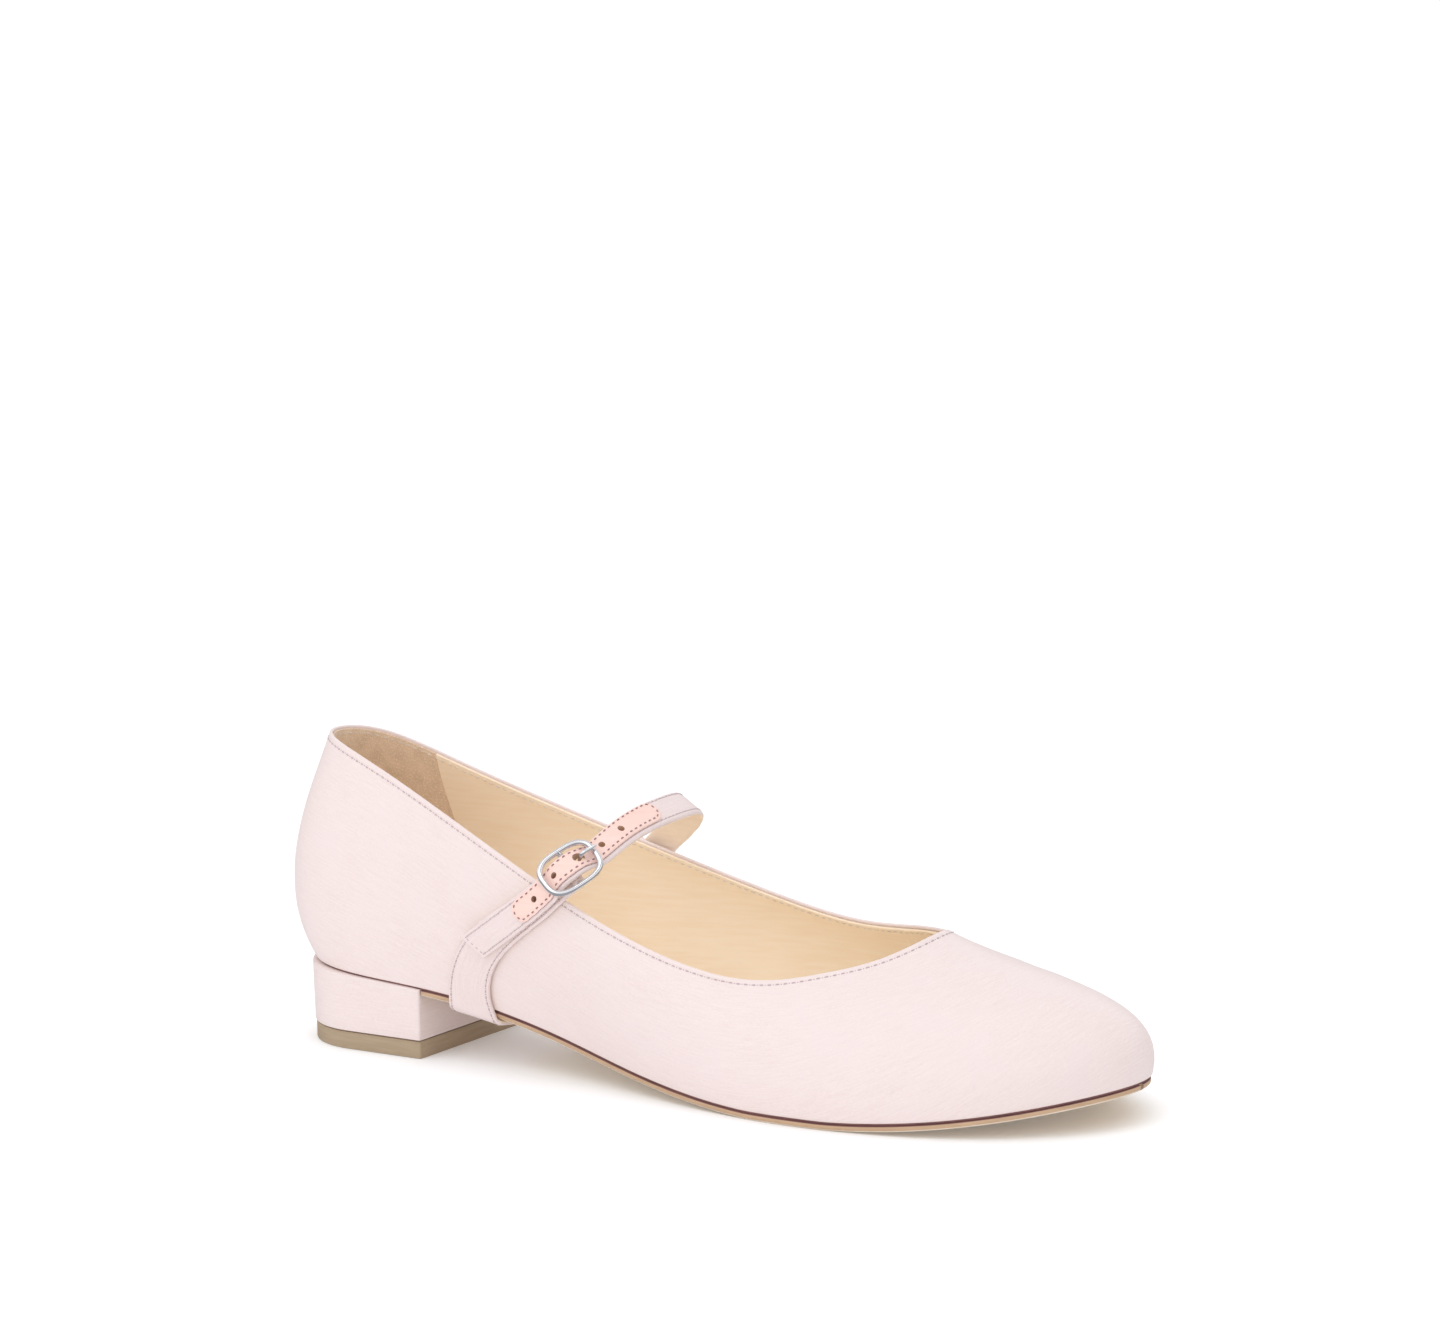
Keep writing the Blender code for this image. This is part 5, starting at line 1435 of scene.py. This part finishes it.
def over_top(s):
    """Height of the stitches on the instep strap."""
    return over_height(s) + STRAP - THREAD_SINK


def patch_row(inset):
    """The closed row along the patch's rim."""
    turn_at = np.linspace(math.pi / 2, math.pi * 1.5, 25)
    r = PATCH_ROUND - inset
    first = np.column_stack([PATCH_FROM + PATCH_ROUND + r * np.cos(turn_at), r * np.sin(turn_at)])
    last = np.column_stack([PATCH_TO - PATCH_ROUND - r * np.cos(turn_at), -r * np.sin(turn_at)])
    straight = np.linspace(PATCH_FROM + PATCH_ROUND, PATCH_TO - PATCH_ROUND, 90)[1:-1]
    low_side = np.column_stack([straight, np.full(len(straight), -r)])
    high_side = np.column_stack([straight[::-1], np.full(len(straight), r)])
    loop = np.vstack([first, low_side, last, high_side, first[:1]])
    height = over_height(loop[:, 0]) + STRAP + PATCH_SEAT + PATCH - 0.03 * MM
    points = over_line.points(loop[:, 0], loop[:, 1], height)
    return StitchRow(points, over_line.points(loop[:, 0], loop[:, 1], height + MM) - points)


sling_rows = [strap_row(sling_line, 1.2 * MM, sling_line.end - 4 * MM, side, sling_top,
                        STITCH_INSET) for side in (-1, 1)]
sew("sling", sling_rows, 1.7 * MM, 0.95 * MM, 0.14 * MM, mauve_thread, "satin")
over_rows = [strap_row(over_line, 1.3 * MM, over_line.end - 1.3 * MM, side, over_top, STITCH_INSET)
             for side in (-1, 1)]
over_rows += [cross_row(over_line, place, STRAP_WIDTH / 2 - STITCH_INSET, over_top)
              for place in (1.3 * MM, over_line.end - 1.3 * MM, over_line.end - 5.5 * MM)]
sew("instep_strap", over_rows, 1.6 * MM, 0.90 * MM, 0.14 * MM, mauve_thread, "satin")
sew("patch", [patch_row(0.75 * MM)], 1.75 * MM, 0.95 * MM, 0.18 * MM, rose_thread, "patch",
    holes=False)

# %% [markdown]
# ## Buckle
# The buckle is bright plated wire. Its frame is a rounded oblong on a bar, and the prong hooks
# round the bar, comes up through its hole and rests on the frame's end. Each is a wire swept
# along a smooth line.

# %% Wire helper
def smooth_line(points, count, closed=False):
    """A smooth line through points by arc length."""
    points = np.asarray(points, float)
    if closed:
        chord = np.linalg.norm(np.roll(points, -1, 0) - points, axis=1)
        knots = np.concatenate([[0.0], np.cumsum(chord)]) / chord.sum()
        return closed_spline(knots, points, np.arange(count) / count)
    chord = np.concatenate([[0.0], np.cumsum(np.linalg.norm(np.diff(points, axis=0), axis=1))])
    return natural_spline(chord / chord[-1], points, np.linspace(0, 1, count))


def wire(name, points, widths, heights, up, materials, closed=False, sides=16):
    """A wire with an oval section swept along points. up is the section's height direction."""
    ahead = np.gradient(points, axis=0)
    if closed:
        ahead = np.roll(points, -1, 0) - np.roll(points, 1, 0)
    ahead /= np.linalg.norm(ahead, axis=1)[:, None]
    up = np.broadcast_to(np.asarray(up, float), points.shape)
    side = np.cross(ahead, up)
    side /= np.linalg.norm(side, axis=1)[:, None]
    rise = np.cross(side, ahead)
    angle = np.arange(sides) * 2 * math.pi / sides
    widths, heights = (np.broadcast_to(a, len(points))[:, None, None] for a in (widths, heights))
    rings = (points[:, None] + side[:, None] * np.cos(angle)[None, :, None] * widths / 2
             + rise[:, None] * np.sin(angle)[None, :, None] * heights / 2)
    if closed:
        faces = grid_faces(len(points), sides, close_rows=True)
        return make_piece(name, rings.reshape(-1, 3), faces, materials)
    loft, faces = capped_loft(rings)
    return make_piece(name, loft, faces, materials, sharp=50)


# %% Frame, bar and prong
FRAME_LENGTH, FRAME_WIDTH, FRAME_WIRE, FRAME_LIFT = 16.6 * MM, 13.9 * MM, 1.55 * MM, 2.9 * MM
FRAME_SQUARENESS = 3.0
frame_a, frame_b = (FRAME_LENGTH - FRAME_WIRE) / 2, (FRAME_WIDTH - FRAME_WIRE) / 2
angle = np.arange(96) * 2 * math.pi / 96
power = 2 / FRAME_SQUARENESS
frame_line = at_buckle(frame_a * np.sign(np.cos(angle)) * np.abs(np.cos(angle)) ** power,
                       frame_b * np.sign(np.sin(angle)) * np.abs(np.sin(angle)) ** power,
                       np.full(96, FRAME_LIFT))
frame_line = smooth_line(frame_line, 128, closed=True)
buckle = wire("buckle_oval", frame_line, FRAME_WIRE * 1.02, FRAME_WIRE * 0.92, bar_out,
              [polished_metal], closed=True, sides=20)
dress(buckle, "metal", "buckle_frame")

bar_half = (STRAP_WIDTH + BAR_WIRE) / 2 + GAP / 2
bar_side = [(bar_half * 0.93, 0.0), (bar_half * 0.985, BAR_WIRE * 0.25),
            (bar_half, FRAME_LIFT / 2), (frame_b, FRAME_LIFT)]
bar_rows = [(-a, b) for a, b in bar_side[::-1]] + [(0.0, 0.0)] + bar_side
bar_line = smooth_line([at_buckle(0.0, a, b) for a, b in bar_rows], 60)
bar = wire("buckle_bar", bar_line, BAR_WIRE, BAR_WIRE, bar_along, [polished_metal])
dress(bar, "metal")

REST_OUT = FRAME_LIFT + (FRAME_WIRE + PRONG_WIRE) / 2 + GAP / 2
hook = [(LOOP_RADIUS * math.cos(a), LOOP_RADIUS * math.sin(a))
        for a in np.radians(np.arange(-190, -9, 20))]
prong_rows = hook + [(PRONG_REACH * a, REST_OUT * b) for a, b in (
    (0.66, 0.12), (0.88, 0.40), (1.06, 0.70), (1.22, 0.90), (1.55, 1.01))]
prong_rows += [(frame_a, REST_OUT), (frame_a + FRAME_WIRE * 0.75, REST_OUT * 0.96)]
prong_line = smooth_line([at_buckle(a, PRONG_SIDE, b) for a, b in prong_rows], 70)
taper = np.interp(np.arange(70), [0, 40, 62, 69], [1.0, 1.0, 1.05, 0.55])
prong = wire("buckle_prong_wire", prong_line, PRONG_WIRE * taper * 1.15, PRONG_WIRE * taper * 0.9,
             np.cross(np.gradient(prong_line, axis=0), bar_across), [polished_metal])
dress(prong, "metal", "buckle_prong")
